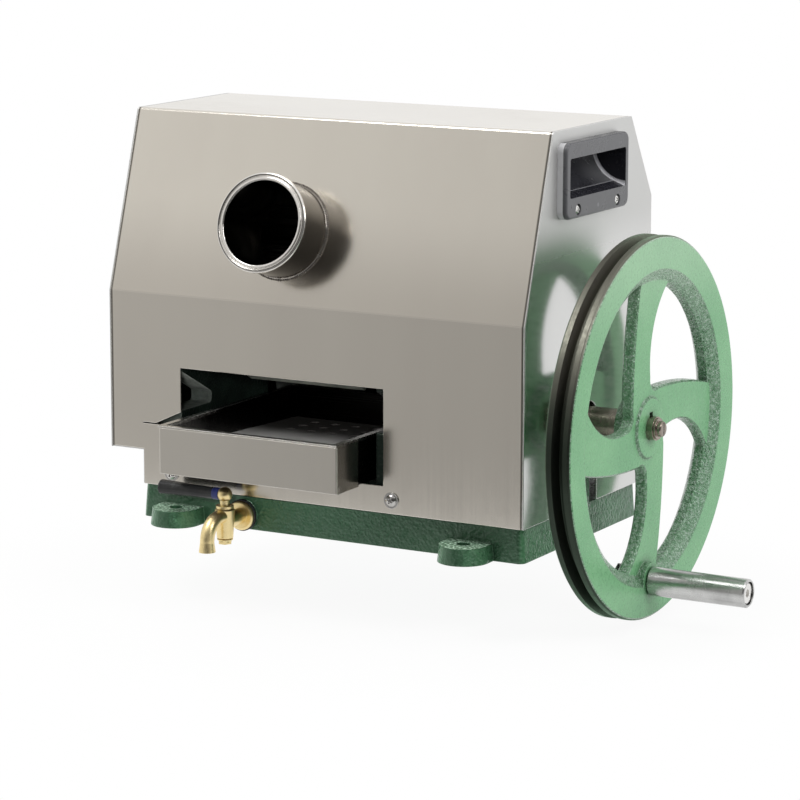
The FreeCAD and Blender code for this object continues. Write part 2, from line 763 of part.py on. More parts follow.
def make_tie_bolts():
    bolts = []
    along = Vector(1, 0, 0)
    for y, z in (front_bar_bolt, rear_bar_bolt):
        left_head = hexagon(tie_bolt_flats, Vector(left_outer - bolt_head_height, y, z), along,
                            bolt_head_height)
        left_shank = rod_x(frame_bolt_radius, left_outer - 1, left_inner + tie_bolt_depth, y, z)
        right_head = hexagon(tie_bolt_flats, Vector(right_outer, y, z), along, bolt_head_height)
        right_shank = rod_x(frame_bolt_radius, right_inner - tie_bolt_depth, right_outer + 1, y, z)
        bolts += [fuse(left_head, left_shank), fuse(right_head, right_shank)]
    return Part.makeCompound(bolts)


def make_frame_bolts():
    bolts = []
    seat = base_height + frame_foot_height
    for x in frame_bolt_x:
        for y in frame_bolt_y:
            head = hexagon(frame_bolt_flats, Vector(x, y, seat), Vector(0, 0, 1), bolt_head_height)
            shank = rod_z(frame_bolt_radius, base_height - frame_bolt_depth, seat + 1, x, y)
            bolts.append(fuse(head, shank))
    return Part.makeCompound(bolts)


def bush(inner_radius, outer_radius, x0, x1, flange_at, flange_towards, y, z):
    """Bearing bush with a thrust flange beside the inner face of its frame."""
    sleeve = rod_x(outer_radius, x0, x1, y, z)
    end = flange_at + flange_towards * bush_flange
    flange = rod_x(outer_radius + bush_flange_wall, min(flange_at, end), max(flange_at, end), y, z)
    through = (min(x0, flange_at, end) - 1, max(x1, flange_at, end) + 1)
    return cut(fuse(sleeve, flange), rod_x(inner_radius, *through, y, z))


def make_roller_bushes(side):
    bushes = []
    for y, z in roller_axes.values():
        if side == "left":
            bushes.append(bush(journal_radius + running_gap, bush_radius, left_boss_end, left_inner,
                               left_inner, 1, y, z))
        else:
            bushes.append(bush(journal_radius + running_gap, bush_radius, right_inner, right_boss_end,
                               right_inner, -1, y, z))
    return Part.makeCompound(bushes)


def make_shaft_bushes():
    bushes = []
    for x0, x1 in ((right_inner, right_boss_end), (pillar_boss_left, pillar_boss_right)):
        bushes.append(cut(rod_x(shaft_bush_radius, x0, x1, 0, shaft_height),
                          rod_x(shaft_radius + running_gap, x0 - 1, x1 + 1, 0, shaft_height)))
    return Part.makeCompound(bushes)


# ---------------------------------------------------------------- rollers and gears
def fluted_roller(axis):
    """Steel crushing roller with flutes along its length and a journal at each end."""
    y, z = axis
    floor = roller_radius - flute_depth
    points = []
    for flute in range(flute_count):
        middle = 2 * math.pi * flute / flute_count
        share = math.pi / flute_count
        for turn, radius in zip(flute_turns, (roller_radius, roller_radius, floor, floor)):
            angle = middle + turn * share
            points.append((y + radius * math.cos(angle), z + radius * math.sin(angle)))
    return prism_x(points, 0, mill_middle - roller_half_length, mill_middle + roller_half_length)


def make_roller(name):
    axis = roller_axes[name]
    right_end = bull_right if name == "rear" else right_boss_end - journal_recess
    journals = rod_x(journal_radius, roller_gear_left, right_end, *axis)
    return fuse(fluted_roller(axis), journals)


def make_turner_plate():
    """Bar between the lower rollers that turns the cane from the first nip to the second."""
    bar = box(left_inner, right_inner, top_roller_y - turner_half_width, top_roller_y + turner_half_width,
              lower_height - turner_below, top_height - roller_radius)
    rounds = [rod_x(roller_radius + turner_gap, left_inner - 1, right_inner + 1, y, z)
              for y, z in roller_axes.values()]
    return cut(bar, *rounds)


def make_roller_gear(name):
    y, z = roller_axes[name]
    blank = gear_blank(roller_teeth, roller_module, roller_phase[name],
                       roller_gear_left, roller_gear_right, (y, z))
    return cut(blank, rod_x(journal_radius + press_gap, roller_gear_left - 1, roller_gear_right + 1, y, z))


def end_screw(x, towards, y, z):
    """Washer and hexagon screw that hold a gear or collar on a shaft's end."""
    washer_end = x + towards * end_washer
    washer = rod_x(journal_radius + end_washer_wall, min(x, washer_end), max(x, washer_end), y, z)
    head_start = washer_end if towards > 0 else washer_end - end_screw_height
    return fuse(washer, hexagon(end_screw_flats, Vector(head_start, y, z), Vector(1, 0, 0), end_screw_height))


def make_roller_end_screws(name):
    screws = [end_screw(roller_gear_left, -1, *roller_axes[name])]
    if name == "rear":
        screws.append(end_screw(bull_right, 1, *roller_axes[name]))
    return Part.makeCompound(screws)


def make_bull_gear():
    """Large reduction gear: toothed rim, thin web with round holes, keyed hub."""
    y, z = roller_axes["rear"]
    blank = gear_blank(bull_teeth, drive_module, bull_phase, bull_left, bull_right, (y, z))
    rim_inside = drive_module * (bull_teeth / 2 - dedendum) - bull_rim_wall
    recess = (bull_width - bull_web) / 2
    cuts = []
    for x0, x1 in ((bull_left - 1, bull_left + recess), (bull_right - recess, bull_right + 1)):
        cuts.append(cut(rod_x(rim_inside, x0, x1, y, z), rod_x(bull_hub_radius, x0, x1, y, z)))
    hole_circle = (rim_inside + bull_hub_radius) / 2
    for i in range(bull_hole_count):
        angle = 2 * math.pi * i / bull_hole_count
        cuts.append(rod_x(bull_hole_radius, bull_left, bull_right,
                          y + hole_circle * math.cos(angle), z + hole_circle * math.sin(angle)))
    cuts.append(rod_x(journal_radius + press_gap, bull_left - 1, bull_right + 1, y, z))
    return cut(blank, *cuts)


# ---------------------------------------------------------------- drive shaft and handwheel
def make_drive_pinion():
    pinion_right = pinion_left + pinion_width
    blank = gear_blank(pinion_teeth, drive_module, pinion_phase, pinion_left, pinion_right, shaft_axis)
    return cut(blank, rod_x(shaft_radius + press_gap, pinion_left - 1, pinion_right + 1, 0, shaft_height))


def make_drive_shaft():
    body = fuse(rod_x(shaft_radius, shaft_inner_end, hub_rear - key_gap, 0, shaft_height),
                rod_x(shaft_end_radius, hub_rear - 1, shaft_end, 0, shaft_height))
    keyway = box(hub_rear, hub_front - key_end, -key_width / 2, key_width / 2,
                 key_floor, shaft_height + shaft_end_radius + 1)
    tapped = rod_x(hub_screw_radius + press_gap, shaft_end - hub_screw_depth - bolt_hole_spare, shaft_end + 1,
                   0, shaft_height)
    return cut(body, keyway, tapped)


def make_hub_key():
    half = key_width / 2 - key_gap
    return box(hub_rear + seat_gap, hub_front - key_end - seat_gap, -half, half,
               key_floor + key_gap, shaft_height + shaft_end_radius + key_rise - 2 * key_gap)


def make_hub_screw():
    """Pan-head screw and washer in the end of the drive shaft."""
    seat = shaft_end + hub_washer
    crown = seat + hub_head_height
    washer = rod_x(shaft_end_radius - 1.0, shaft_end, seat, 0, shaft_height)
    head = rod_x(hub_head_radius, seat, crown, 0, shaft_height)
    head = head.makeFillet(hub_head_round, [e for e in head.Edges if e.BoundBox.XMin > crown - 1e-6])
    shank = rod_x(hub_screw_radius, shaft_end - hub_screw_depth, shaft_end + 1, 0, shaft_height)
    slot = box(crown - hub_slot_depth, crown + 1, -hub_slot_half_width, hub_slot_half_width,
               shaft_height - hub_head_radius - 1, shaft_height + hub_head_radius + 1)
    return cut(fuse(washer, head, shank), slot)


def window_wire(turn, x, grow):
    """Outline of one window of the wheel between two curved spokes, turned about the axis."""
    outer = web_outer_radius - window_rim_gap + grow
    c, s = math.cos(turn), math.sin(turn)

    def place(u, v):
        return Vector(x, u * c - v * s, shaft_height + u * s + v * c)

    def on_circle(angle):
        return place(outer * math.cos(angle), outer * math.sin(angle))

    # the spoke edges bow outwards from the window; the corner by the hub is an arc
    widen = grow / web_outer_radius
    root = place(window_root_side - grow, hub_radius + window_root_rise)
    corner = place(window_arc_side - grow, hub_radius + window_arc_rise - grow)
    foot = place(window_foot_side, hub_radius + window_foot_rise - grow)
    low_bow = place(window_low_bow[0] * web_outer_radius, window_low_bow[1] * web_outer_radius - grow)
    high_bow = place(window_high_bow[0] * web_outer_radius - grow, window_high_bow[1] * web_outer_radius)
    low_end, high_end = on_circle(window_low_angle - widen), on_circle(window_high_angle + widen)
    arcs = [(root, corner, foot), (foot, low_bow, low_end),
            (low_end, on_circle(window_middle_angle), high_end), (high_end, high_bow, root)]
    return Part.Wire([Part.Arc(*points).toShape() for points in arcs])


def make_handwheel():
    """Cast wheel: grooved rim, recessed web with four curved spokes, keyed hub, crank boss."""
    middle = (wheel_face + wheel_back) / 2
    half_mouth, half_floor = groove_mouth / 2, groove_floor / 2
    groove_radius = wheel_radius - groove_depth
    profile = [(shaft_end_radius + press_gap, hub_rear), (hub_radius, hub_rear),
               (hub_radius, web_back), (web_outer_radius, web_back), (rim_inner_radius, wheel_back),
               (wheel_radius - rim_edge, wheel_back), (wheel_radius, wheel_back + rim_edge),
               (wheel_radius, middle - half_mouth), (groove_radius, middle - half_floor),
               (groove_radius, middle + half_floor), (wheel_radius, middle + half_mouth),
               (wheel_radius, wheel_face - rim_edge), (wheel_radius - rim_edge, wheel_face),
               (rim_inner_radius, wheel_face), (web_outer_radius, web_front),
               (hub_radius + hub_step, web_front), (hub_radius, hub_front),
               (shaft_end_radius + press_gap, hub_front)]
    radii = [0, 1, 2, 3, 2, 0, 0, 0, 1, 1, 0, 1, 1, 2, 5, 1.2, 0.8, 0]
    wire = outline_wire(rounded_outline(profile, radii), lambda r, x: Vector(x, 0, shaft_height + r))
    body = Part.Face(wire).revolve(Vector(0, 0, shaft_height), Vector(1, 0, 0), 360)
    body = fuse(body, rod_x(crank_boss_radius, wheel_back, wheel_face, crank_offset, crank_height))
    sections = [(web_back - 1, window_edge + 1), (web_back + window_edge, 0),
                (web_front - window_edge, window_draft), (web_front + 1, window_edge + window_draft + 1)]
    windows = []
    for i in range(4):
        turn = i * math.pi / 2
        windows.append(Part.makeLoft([window_wire(turn, x, grow) for x, grow in sections], True, True))
    keyway = box(hub_rear - 1, hub_front + 1, -key_width / 2, key_width / 2,
                 shaft_height, shaft_height + shaft_end_radius + key_rise)
    pin_hole = rod_x(crank_pin_radius + press_gap, wheel_back - 1, wheel_face + 1, crank_offset, crank_height)
    return cut(body, *windows, keyway, pin_hole)


def make_crank_pin():
    """Shoulder bolt that carries the turning grip."""
    shoulder = wheel_face + seat_gap + grip_length - grip_counterbore_depth
    seat = shoulder + seat_gap
    crown = seat + crank_head_height
    shank = rod_x(crank_pin_radius, wheel_back - crank_nut_height - 1, seat + 1, crank_offset, crank_height)
    head = rod_x(grip_counterbore - crank_head_gap, seat, crown, crank_offset, crank_height)
    socket = hexagon(crank_socket_flats, Vector(crown - crank_socket_depth, crank_offset, crank_height),
                     Vector(1, 0, 0), crank_socket_depth + 1)
    return cut(fuse(shank, head), socket)


def make_crank_nut():
    start = wheel_back - crank_nut_height
    nut = hexagon(crank_nut_flats, Vector(start, crank_offset, crank_height), Vector(1, 0, 0),
                  crank_nut_height)
    bore = rod_x(crank_pin_radius + press_gap, start - 1, wheel_back + 1, crank_offset, crank_height)
    return cut(nut, bore)


def make_crank_grip():
    start = wheel_face + seat_gap
    end = start + grip_length
    body = rod_x(grip_radius, start, end, crank_offset, crank_height)
    body = body.makeChamfer(grip_edge, [e for e in body.Edges if e.BoundBox.XMax - e.BoundBox.XMin < 1e-6])
    bore = rod_x(crank_pin_radius + running_gap, start - 1, end + 1, crank_offset, crank_height)
    recess = rod_x(grip_counterbore, end - grip_counterbore_depth, end + 1, crank_offset, crank_height)
    return cut(body, bore, recess)


# ---------------------------------------------------------------- hood
def hood_outline():
    """Side view of the hood as (y, z), anticlockwise seen from the right."""
    return [(hood_front, hood_bottom), (hood_back, hood_bottom), (hood_back, hood_back_crease),
            (hood_top_back, hood_top), (hood_top_front, hood_top), (hood_front, hood_crease)]


def hood_body(distance, x0, x1, below):
    """The hood's outer form moved inwards by a distance, reaching down below its edge."""
    corners = inset(hood_outline(), distance)
    corners[0] = (corners[0][0], hood_bottom - below)
    corners[1] = (corners[1][0], hood_bottom - below)
    bend = hood_bend - distance
    return prism_x(corners, [0, 0, bend, bend, bend, bend], x0, x1)


def slope_point(height):
    """Point on the sloping sheet's outer face in the middle plane of the mill."""
    return Vector(mill_middle, hood_front + (height - hood_crease) * math.tan(lean), height)


tube_axis = Vector(0, -math.cos(lean), math.sin(lean))     # out of the tube's mouth
tube_base = slope_point(tube_height)


def make_hood_wrap():
    """Front, slope, top and back of the hood: one folded sheet."""
    x0, x1 = hood_left + sheet, hood_right - sheet
    body = cut(hood_body(0, x0, x1, 0), hood_body(sheet, x0 - 1, x1 + 1, 5))
    step = box(hood_left - 1, step_left + sheet, hood_front - 1, hood_back + 1, 0, step_height + sheet)
    front = (hood_front - 1, hood_front + sheet + 1)
    back = (hood_back - sheet - 1, hood_back + 1)
    opening = prism_y(rectangle(opening_left, opening_right, opening_bottom, opening_top), sheet / 2, *front)
    relief = prism_y([(relief_left, relief_height), (opening_left + 1, relief_height),
                      (opening_left + 1, relief_reach), (opening_left, relief_reach),
                      (relief_corner, relief_height + relief_width),
                      (relief_left, relief_height + relief_width)],
                     0, *front)
    tube_hole = Part.makeCylinder(tube_radius + press_gap, 2 * tube_inside,
                                  tube_base - tube_axis * tube_inside, tube_axis)
    outlet = prism_y(rectangle(mill_middle - outlet_half_width, mill_middle + outlet_half_width,
                               outlet_bottom, outlet_top), hood_bend, *back)
    holes = []
    for x in hood_screw_places:
        holes += [rod_y(hood_screw_radius + press_gap, *span, x, hood_screw_height) for span in (front, back)]
    return cut(body, step, opening, relief, tube_hole, outlet, *holes)


def side_flange(x0, x1):
    """Welding flange folded in from a side panel, lying under the wrap."""
    return cut(hood_body(sheet, x0, x1, 0), hood_body(2 * sheet, x0 - 1, x1 + 1, 5))


def handle_cutout(x0, x1):
    half = grasp_half_length + cup_wall
    return prism_x(rectangle(handle_middle_y - half, handle_middle_y + half,
                             grasp_bottom - cup_wall, grasp_top + cup_wall), cup_corner, x0, x1)


def handle_screw_holes(x0, x1, radius):
    return [rod_x(radius, x0, x1, handle_middle_y + side * handle_screw_reach, handle_screw_height)
            for side in (-1, 1)]


def make_hood_side_right():
    """Right side panel with the shaft slot, open downwards, and the handle cut-out."""
    panel = fuse(hood_body(0, hood_right - sheet, hood_right, 0),
                 side_flange(hood_right - sheet - hood_flange, hood_right - sheet))
    x0, x1 = hood_right - sheet - 1, hood_right + 1
    slot = fuse(rod_x(slot_half_width, x0, x1, 0, shaft_height),
                box(x0, x1, -slot_half_width, slot_half_width, 0, shaft_height))
    screw_holes = handle_screw_holes(x0, x1, handle_screw_radius + press_gap)
    return cut(panel, slot, handle_cutout(x0, x1), *screw_holes)


def make_hood_side_left():
    """Left side panel: steps in below the gears, so the base keeps clear of it."""
    form = fuse(hood_body(0, hood_left, hood_left + sheet, 0),
                hood_body(sheet, hood_left + sheet, step_left + sheet, 0))
    depth = (hood_front - 1, hood_back + 1)
    form = cut(form, box(hood_left - 1, step_left, *depth, 0, step_height))
    inner = hood_body(2 * sheet, hood_left + sheet, step_left + 2 * sheet, 1)
    inner = cut(inner, box(hood_left - 1, step_left + sheet, *depth, 0, step_height + sheet))
    # the folded flange ends where the wrap takes over
    trim = box(hood_left + sheet + hood_flange, step_left + 2 * sheet, *depth,
               step_height + 2 * sheet, hood_top + 1)
    body = cut(form, inner, trim)
    x0, x1 = hood_left - 1, hood_left + sheet + 1
    return cut(body, handle_cutout(x0, x1), *handle_screw_holes(x0, x1, handle_screw_radius + press_gap))


def make_hood_screws():
    """Pan-head screws with washers through the hood into the bosses of the side frames."""
    screws = []
    for x in hood_screw_places:
        for side in (-1, 1):
            face = side * hood_half_depth
            tip = side * (hood_half_depth - screw_depth + 1)
            seat = face + side * hood_washer
            crown = seat + side * hood_screw_head_height
            floor = crown - side * hood_slot_depth
            washer = rod_y(hood_washer_radius, min(face, seat), max(face, seat), x, hood_screw_height)
            head = rod_y(hood_screw_head_radius, min(seat, crown), max(seat, crown), x, hood_screw_height)
            shank = rod_y(hood_screw_radius, min(tip, seat), max(tip, seat), x, hood_screw_height)
            slot = box(x - hood_washer_radius, x + hood_washer_radius, min(crown, floor), max(crown, floor),
                       hood_screw_height - hood_slot_half_width, hood_screw_height + hood_slot_half_width)
            screws.append(cut(fuse(washer, head, shank), slot))
    return Part.makeCompound(screws)


def make_feed_tube():
    """Round feed tube with a double rolled bead at its mouth and a collar on the hood."""
    bore = tube_radius - tube_wall
    lip = tube_inside + tube_length
    outer, inner = tube_radius + bead_proud, bore - bead_proud
    groove = (outer + inner) / 2
    half_groove = bead_groove / 2
    profile = [(bore, 0), (tube_radius, 0), (tube_radius, tube_inside), (collar_radius, tube_inside),
               (tube_radius, tube_inside + collar_height), (tube_radius, lip - outer_bead),
               (outer, lip - outer_bead), (outer, lip),
               (groove + half_groove, lip), (groove + half_groove, lip - bead_groove),
               (groove - half_groove, lip - bead_groove), (groove - half_groove, lip), (inner, lip),
               (inner, lip - inner_bead), (bore, lip - inner_bead)]
    radii = [0, 0, 0, 0, 0, 0, 1.6, 1.6, 0.9, 0, 0, 0.8, 1.1, 1.1, 0]
    wire = outline_wire(rounded_outline(profile, radii), lambda r, t: Vector(r, 0, t))
    tube = Part.Face(wire).revolve(Vector(0, 0, 0), Vector(0, 0, 1), 360)
    tube.Placement = FreeCAD.Placement(tube_base - tube_axis * tube_inside,
                                       Rotation(Vector(0, 0, 1), tube_axis))
    return tube


def make_bagasse_chute():
    """Short outlet chute for the crushed cane, on the back of the hood."""
    left, right = mill_middle - outlet_half_width, mill_middle + outlet_half_width
    back = hood_back + sheet
    flange = prism_y(rectangle(left - chute_border, right + chute_border, outlet_bottom - chute_border,
                               outlet_top + chute_border), hood_bend, hood_back, back)
    window = box(left + sheet, right - sheet, hood_back - 1, back + 1, outlet_bottom + sheet, outlet_top)
    end = hood_back + chute_reach
    floor_end = outlet_bottom - chute_drop
    floor = prism_x([(hood_back, outlet_bottom), (end, floor_end), (end, floor_end + sheet),
                     (hood_back, outlet_bottom + sheet)], 0, left, right)
    cheeks = []
    for x in (left, right - sheet):
        cheeks.append(prism_x([(hood_back, outlet_bottom), (end, floor_end),
                               (end, floor_end + chute_side * chute_end_share),
                               (hood_back, outlet_bottom + chute_side)], [0, 0, hood_bend, 0], x, x + sheet))
    return fuse(cut(flange, window), floor, *cheeks)


def make_cup_hollow(proud, outwards):
    """Space for the fingers: deep under the top edge, sweeping out to the lower lip."""
    y0, y1 = handle_middle_y - grasp_half_length, handle_middle_y + grasp_half_length
    lip_x = proud - outwards * lip_depth
    lip_z = grasp_top - math.sqrt(scoop_radius ** 2 - lip_depth ** 2)
    deep = proud - outwards * scoop_radius
    sweep = rod_y(scoop_radius, y0, y1, proud, grasp_top).common(
        box(min(deep, proud), max(deep, proud), y0, y1, grasp_bottom, grasp_top))
    lip = prism_y([(proud, grasp_top), (lip_x, grasp_top), (lip_x, lip_z), (proud, grasp_bottom)], 0, y0, y1)
    hollow = fuse(sweep, lip)

    def at_an_end(edge):
        span = edge.BoundBox
        return span.YLength < 1e-6 and not (span.XLength < 1e-6 and abs(span.XMin - proud) < 1e-6)

    return hollow.makeFillet(cup_round, [edge for edge in hollow.Edges if at_an_end(edge)])


def make_carry_handle(face, outwards):
    """Recessed plastic grab handle: raised frame with a swept finger cup behind the panel."""
    def block(half, low, high, corner, first, second):
        outline = rectangle(handle_middle_y - half, handle_middle_y + half, low, high)
        return prism_x(outline, corner, min(first, second), max(first, second))

    proud = face + outwards * handle_proud
    back = proud - outwards * (scoop_radius + cup_wall)
    frame = block(handle_half_length, handle_bottom, handle_top, handle_corner, face, proud)
    rim = [e for e in frame.Edges if max(abs(e.BoundBox.XMin - proud), abs(e.BoundBox.XMax - proud)) < 1e-6]
    frame = frame.makeFillet(handle_round, rim)
    wall = cup_wall - cup_gap
    outline = (grasp_half_length + wall, grasp_bottom - wall, grasp_top + wall, cup_corner)
    collar = block(*outline, face - outwards * cup_collar, face)
    y0, y1 = handle_middle_y - handle_half_length, handle_middle_y + handle_half_length
    round_shell = fuse(rod_y(scoop_radius + cup_wall, y0, y1, proud, grasp_top),
                       box(min(back, face), max(back, face), y0, y1, grasp_top, grasp_top + cup_wall))
    cup = block(*outline, back, face).common(round_shell)
    body = cut(fuse(frame, collar, cup), make_cup_hollow(proud, outwards))
    holes = handle_screw_holes(min(back, proud) - 1, max(back, proud) + 1, handle_screw_radius + press_gap)
    seat = proud - outwards * handle_sink_depth
    sinks = [rod_x(handle_sink_radius, min(proud, seat), max(proud, seat),
                   handle_middle_y + side * handle_screw_reach, handle_screw_height) for side in (-1, 1)]
    return cut(body, *holes, *sinks)


def make_handle_screws():
    screws = []
    for face, outwards in ((hood_right, 1), (hood_left, -1)):
        seat = face + outwards * (handle_proud - handle_sink_depth)
        crown = seat + outwards * handle_head_height
        floor = crown - outwards * handle_slot_depth
        tip = face - outwards * handle_screw_depth
        for side in (-1, 1):
            y = handle_middle_y + side * handle_screw_reach
            head = rod_x(handle_head_radius, min(seat, crown), max(seat, crown), y, handle_screw_height)
            shank = rod_x(handle_screw_radius, min(seat, tip), max(seat, tip), y, handle_screw_height)
            slot = box(min(crown, floor), max(crown, floor), y - handle_slot_half_width,
                       y + handle_slot_half_width, handle_screw_height - handle_head_radius,
                       handle_screw_height + handle_head_radius)
            screws.append(cut(fuse(head, shank), slot))
    return Part.makeCompound(screws)


# ---------------------------------------------------------------- juice tray
def make_juice_tray():
    """Sheet tray under the rollers: turned-in rim, hem on the left, drain over the basin."""
    x0, x1 = tray_left + sheet, tray_right - sheet
    y0, y1 = tray_front + sheet, tray_back
    shell = box(x0, x1, y0, y1, tray_bottom, tray_top - sheet)
    inside = box(x0 + sheet, x1 - sheet, y0 + sheet, y1 - sheet, tray_bottom + sheet, tray_top)
    rim = box(x0, x1, y0, y1, tray_top - sheet, tray_top)
    rim_inside = box(x0 + sheet, x1 - tray_rim, y0 + tray_rim, y1 - tray_rim,
                     tray_top - sheet - 1, tray_top + 1)
    hem = prism_z(rectangle(x0 - tray_hem, x0 + sheet, y0, y1), [tray_round, 0, 0, tray_round],
                  tray_top - sheet, tray_top)
    drain = rod_z(drain_radius, tray_bottom - 1, tray_bottom + sheet + 1, mill_middle, basin_centre_y)
    return cut(fuse(cut(shell, inside), cut(rim, rim_inside), hem), drain)


def make_tray_front_panel():
    """Folded front of the tray, welded round its front corners."""
    outer = prism_z(rectangle(tray_left, tray_right, tray_front, tray_front + tray_return),
                    [panel_round, panel_round, 0, 0], tray_bottom - tray_hang, tray_top - sheet - press_gap)
    inner = box(tray_left + sheet, tray_right - sheet, tray_front + sheet, tray_front + tray_return + 1,
                tray_bottom - tray_hang - 1, tray_top + 1)
    return cut(outer, inner)


def make_strainer_plate():
    """Perforated plate that slopes down to the back, standing on its two folded sides."""
    wall = 2 * sheet + strainer_gap
    x0, x1 = tray_left + wall, tray_right - wall
    y0, y1 = tray_front + wall, tray_back - sheet - strainer_gap
    foot = tray_bottom + sheet
    front_top = tray_top - strainer_depth
    back_top = front_top - strainer_fall
    form = prism_x([(y0, foot), (y1, foot), (y1, back_top), (y0, front_top)], 0, x0, x1)
    under = prism_x([(y0, foot - 1), (y1, foot - 1), (y1, back_top - sheet), (y0, front_top - sheet)],
                    0, x0 + sheet, x1 - sheet)
    holes = []
    for column in range(strainer_columns):
        for row in range(strainer_rows):
            x = mill_middle + (column - (strainer_columns - 1) / 2) * strainer_pitch
            y = y1 - strainer_hole_back - row * strainer_pitch
            holes.append(rod_z(strainer_hole_radius, foot + 1, tray_top, x, y))
    return cut(form, under, *holes)


# ---------------------------------------------------------------- tap
def make_tap_gasket():
    ring = rod_y(gasket_radius, tap_seat - gasket_thickness, tap_seat, tap_x, tap_height)
    return cut(ring, rod_y(tap_shank_radius + press_gap, tap_seat - gasket_thickness - 1, tap_seat + 1,
                           tap_x, tap_height))


def make_tap_body():
    """Brass bib tap: shank, round flange, upright barrel and a spout that curves down."""
    seat = tap_seat - gasket_thickness
    flange = rod_y(tap_flange_radius, seat - tap_flange, seat, tap_x, tap_height)
    rim = [e for e in flange.Edges if abs(e.BoundBox.YMin - (seat - tap_flange)) < 1e-6
           and abs(e.BoundBox.YMax - (seat - tap_flange)) < 1e-6]
    flange = flange.makeFillet(tap_flange_round, rim)
    shank = rod_y(tap_shank_radius, seat - 1, basin_front + tap_shank_inside, tap_x, tap_height)
    neck = rod_y(tap_neck_radius, plug_y, seat - 1, tap_x, tap_height)
    barrel = Part.makeCone(barrel_foot_radius, barrel_radius, barrel_top - barrel_bottom,
                           Vector(tap_x, plug_y, barrel_bottom))
    rims = [e for e in barrel.Edges if abs(e.BoundBox.ZMax - e.BoundBox.ZMin) < 1e-6]
    barrel = barrel.makeChamfer(barrel_edge, rims)
    bend_y = plug_y - spout_lead
    level = tap_height + spout_rise
    foot_y, foot_z = bend_y - spout_bend, level - spout_bend

    def spout(radius, lip_radius, start_y, past):
        circle = Part.Wire(Part.makeCircle(radius, Vector(tap_x, bend_y, level), Vector(0, 1, 0)))
        bend = Part.Face(circle).revolve(Vector(tap_x, bend_y, foot_z), Vector(1, 0, 0), 90)
        lip = Part.makeCone(radius, lip_radius, foot_z - spout_end + past, Vector(tap_x, foot_y, foot_z),
                            Vector(0, 0, -1))
        return fuse(bend, rod_y(radius, bend_y, start_y, tap_x, level), lip)

    channel = spout(spout_radius - spout_wall, spout_lip_radius - spout_wall, plug_y, 1.0)
    bore = rod_y(tap_bore_radius, plug_y, basin_front + tap_shank_inside + 1, tap_x, tap_height)
    plug_hole = rod_z(plug_radius + plug_gap, barrel_bottom - 1, barrel_top + 1, tap_x, plug_y)
    whole = fuse(flange, shank, neck, barrel, spout(spout_radius, spout_lip_radius, plug_y, 0.0))
    return cut(whole, channel, bore, plug_hole)


def make_tap_locknut():
    """Nut inside the basin, cut flat where it would touch the basin's floor."""
    start = basin_front + key_gap
    end = start + tap_nut_thickness
    nut = hexagon(tap_nut_flats, Vector(tap_x, start, tap_height), Vector(0, 1, 0), tap_nut_thickness)
    nut = fuse(nut, rod_y(tap_nut_washer_radius, start, start + tap_nut_washer, tap_x, tap_height))
    above_floor = box(tap_x - tap_nut_flats, tap_x + tap_nut_flats, start, end,
                      basin_floor + key_gap, tap_height + tap_nut_flats)
    nut = nut.common(above_floor)
    return cut(nut, rod_y(tap_shank_radius + press_gap, start - 1, end + 1, tap_x, tap_height))


def make_tap_plug():
    """Turning plug: ported stem, shoulder and ball knob, with the tang that the lever fits."""
    shoulder_foot = barrel_top + seat_gap
    shoulder_top = shoulder_foot + plug_shoulder
    stem = rod_z(plug_radius, barrel_bottom - plug_foot, shoulder_foot + 1, tap_x, plug_y)
    port = rod_x(plug_hole_radius, tap_x - plug_radius - 1, tap_x + plug_radius + 1, plug_y,
                 tap_height + spout_rise / 2)
    shoulder = rod_z(plug_shoulder_radius, shoulder_foot, shoulder_top, tap_x, plug_y)
    waist = rod_z(lever_inner - running_gap, shoulder_top - 1, ball_height, tap_x, plug_y)
    ball = Part.makeSphere(ball_radius, Vector(tap_x, plug_y, ball_height))
    tang_end = tap_x - lever_inner - lever_collar - lever_tang_depth
    tang = rod_x(lever_tang_radius, tang_end, tap_x, plug_y, ball_height)
    return fuse(cut(stem, port), shoulder, waist, ball, tang)


def make_tap_lever():
    start = tap_x - lever_inner - lever_collar
    end = tap_x - lever_outer
    body = Part.makeCone(lever_inner_radius, lever_outer_radius, start - end,
                         Vector(start, plug_y, ball_height), Vector(-1, 0, 0))
    body = body.makeFillet(lever_end_round, [e for e in body.Edges if e.BoundBox.XMax < end + 1e-6])
    return cut(body, rod_x(lever_tang_radius + press_gap, start - lever_tang_depth - seat_gap, start + 1,
                           plug_y, ball_height))


def make_tap_lever_collar():
    end = tap_x - lever_inner
    collar = rod_x(lever_inner_radius + collar_proud, end - lever_collar, end, plug_y, ball_height)
    ball = Part.makeSphere(ball_radius + plug_gap, Vector(tap_x, plug_y, ball_height))
    tang = rod_x(lever_tang_radius + press_gap, end - lever_collar - 1, end + 1, plug_y, ball_height)
    return cut(collar, tang, ball)


def make_tap_bottom_nut():
    top = barrel_bottom - plug_gap
    washer = rod_z(plug_washer_radius, top - plug_washer, top, tap_x, plug_y)
    nut = hexagon(plug_nut_flats, Vector(tap_x, plug_y, top - plug_nut_height), Vector(0, 0, 1),
                  plug_nut_height)
    plug = rod_z(plug_radius + press_gap, barrel_bottom - plug_foot - press_gap, top + 1, tap_x, plug_y)
    return cut(fuse(nut, washer), plug)


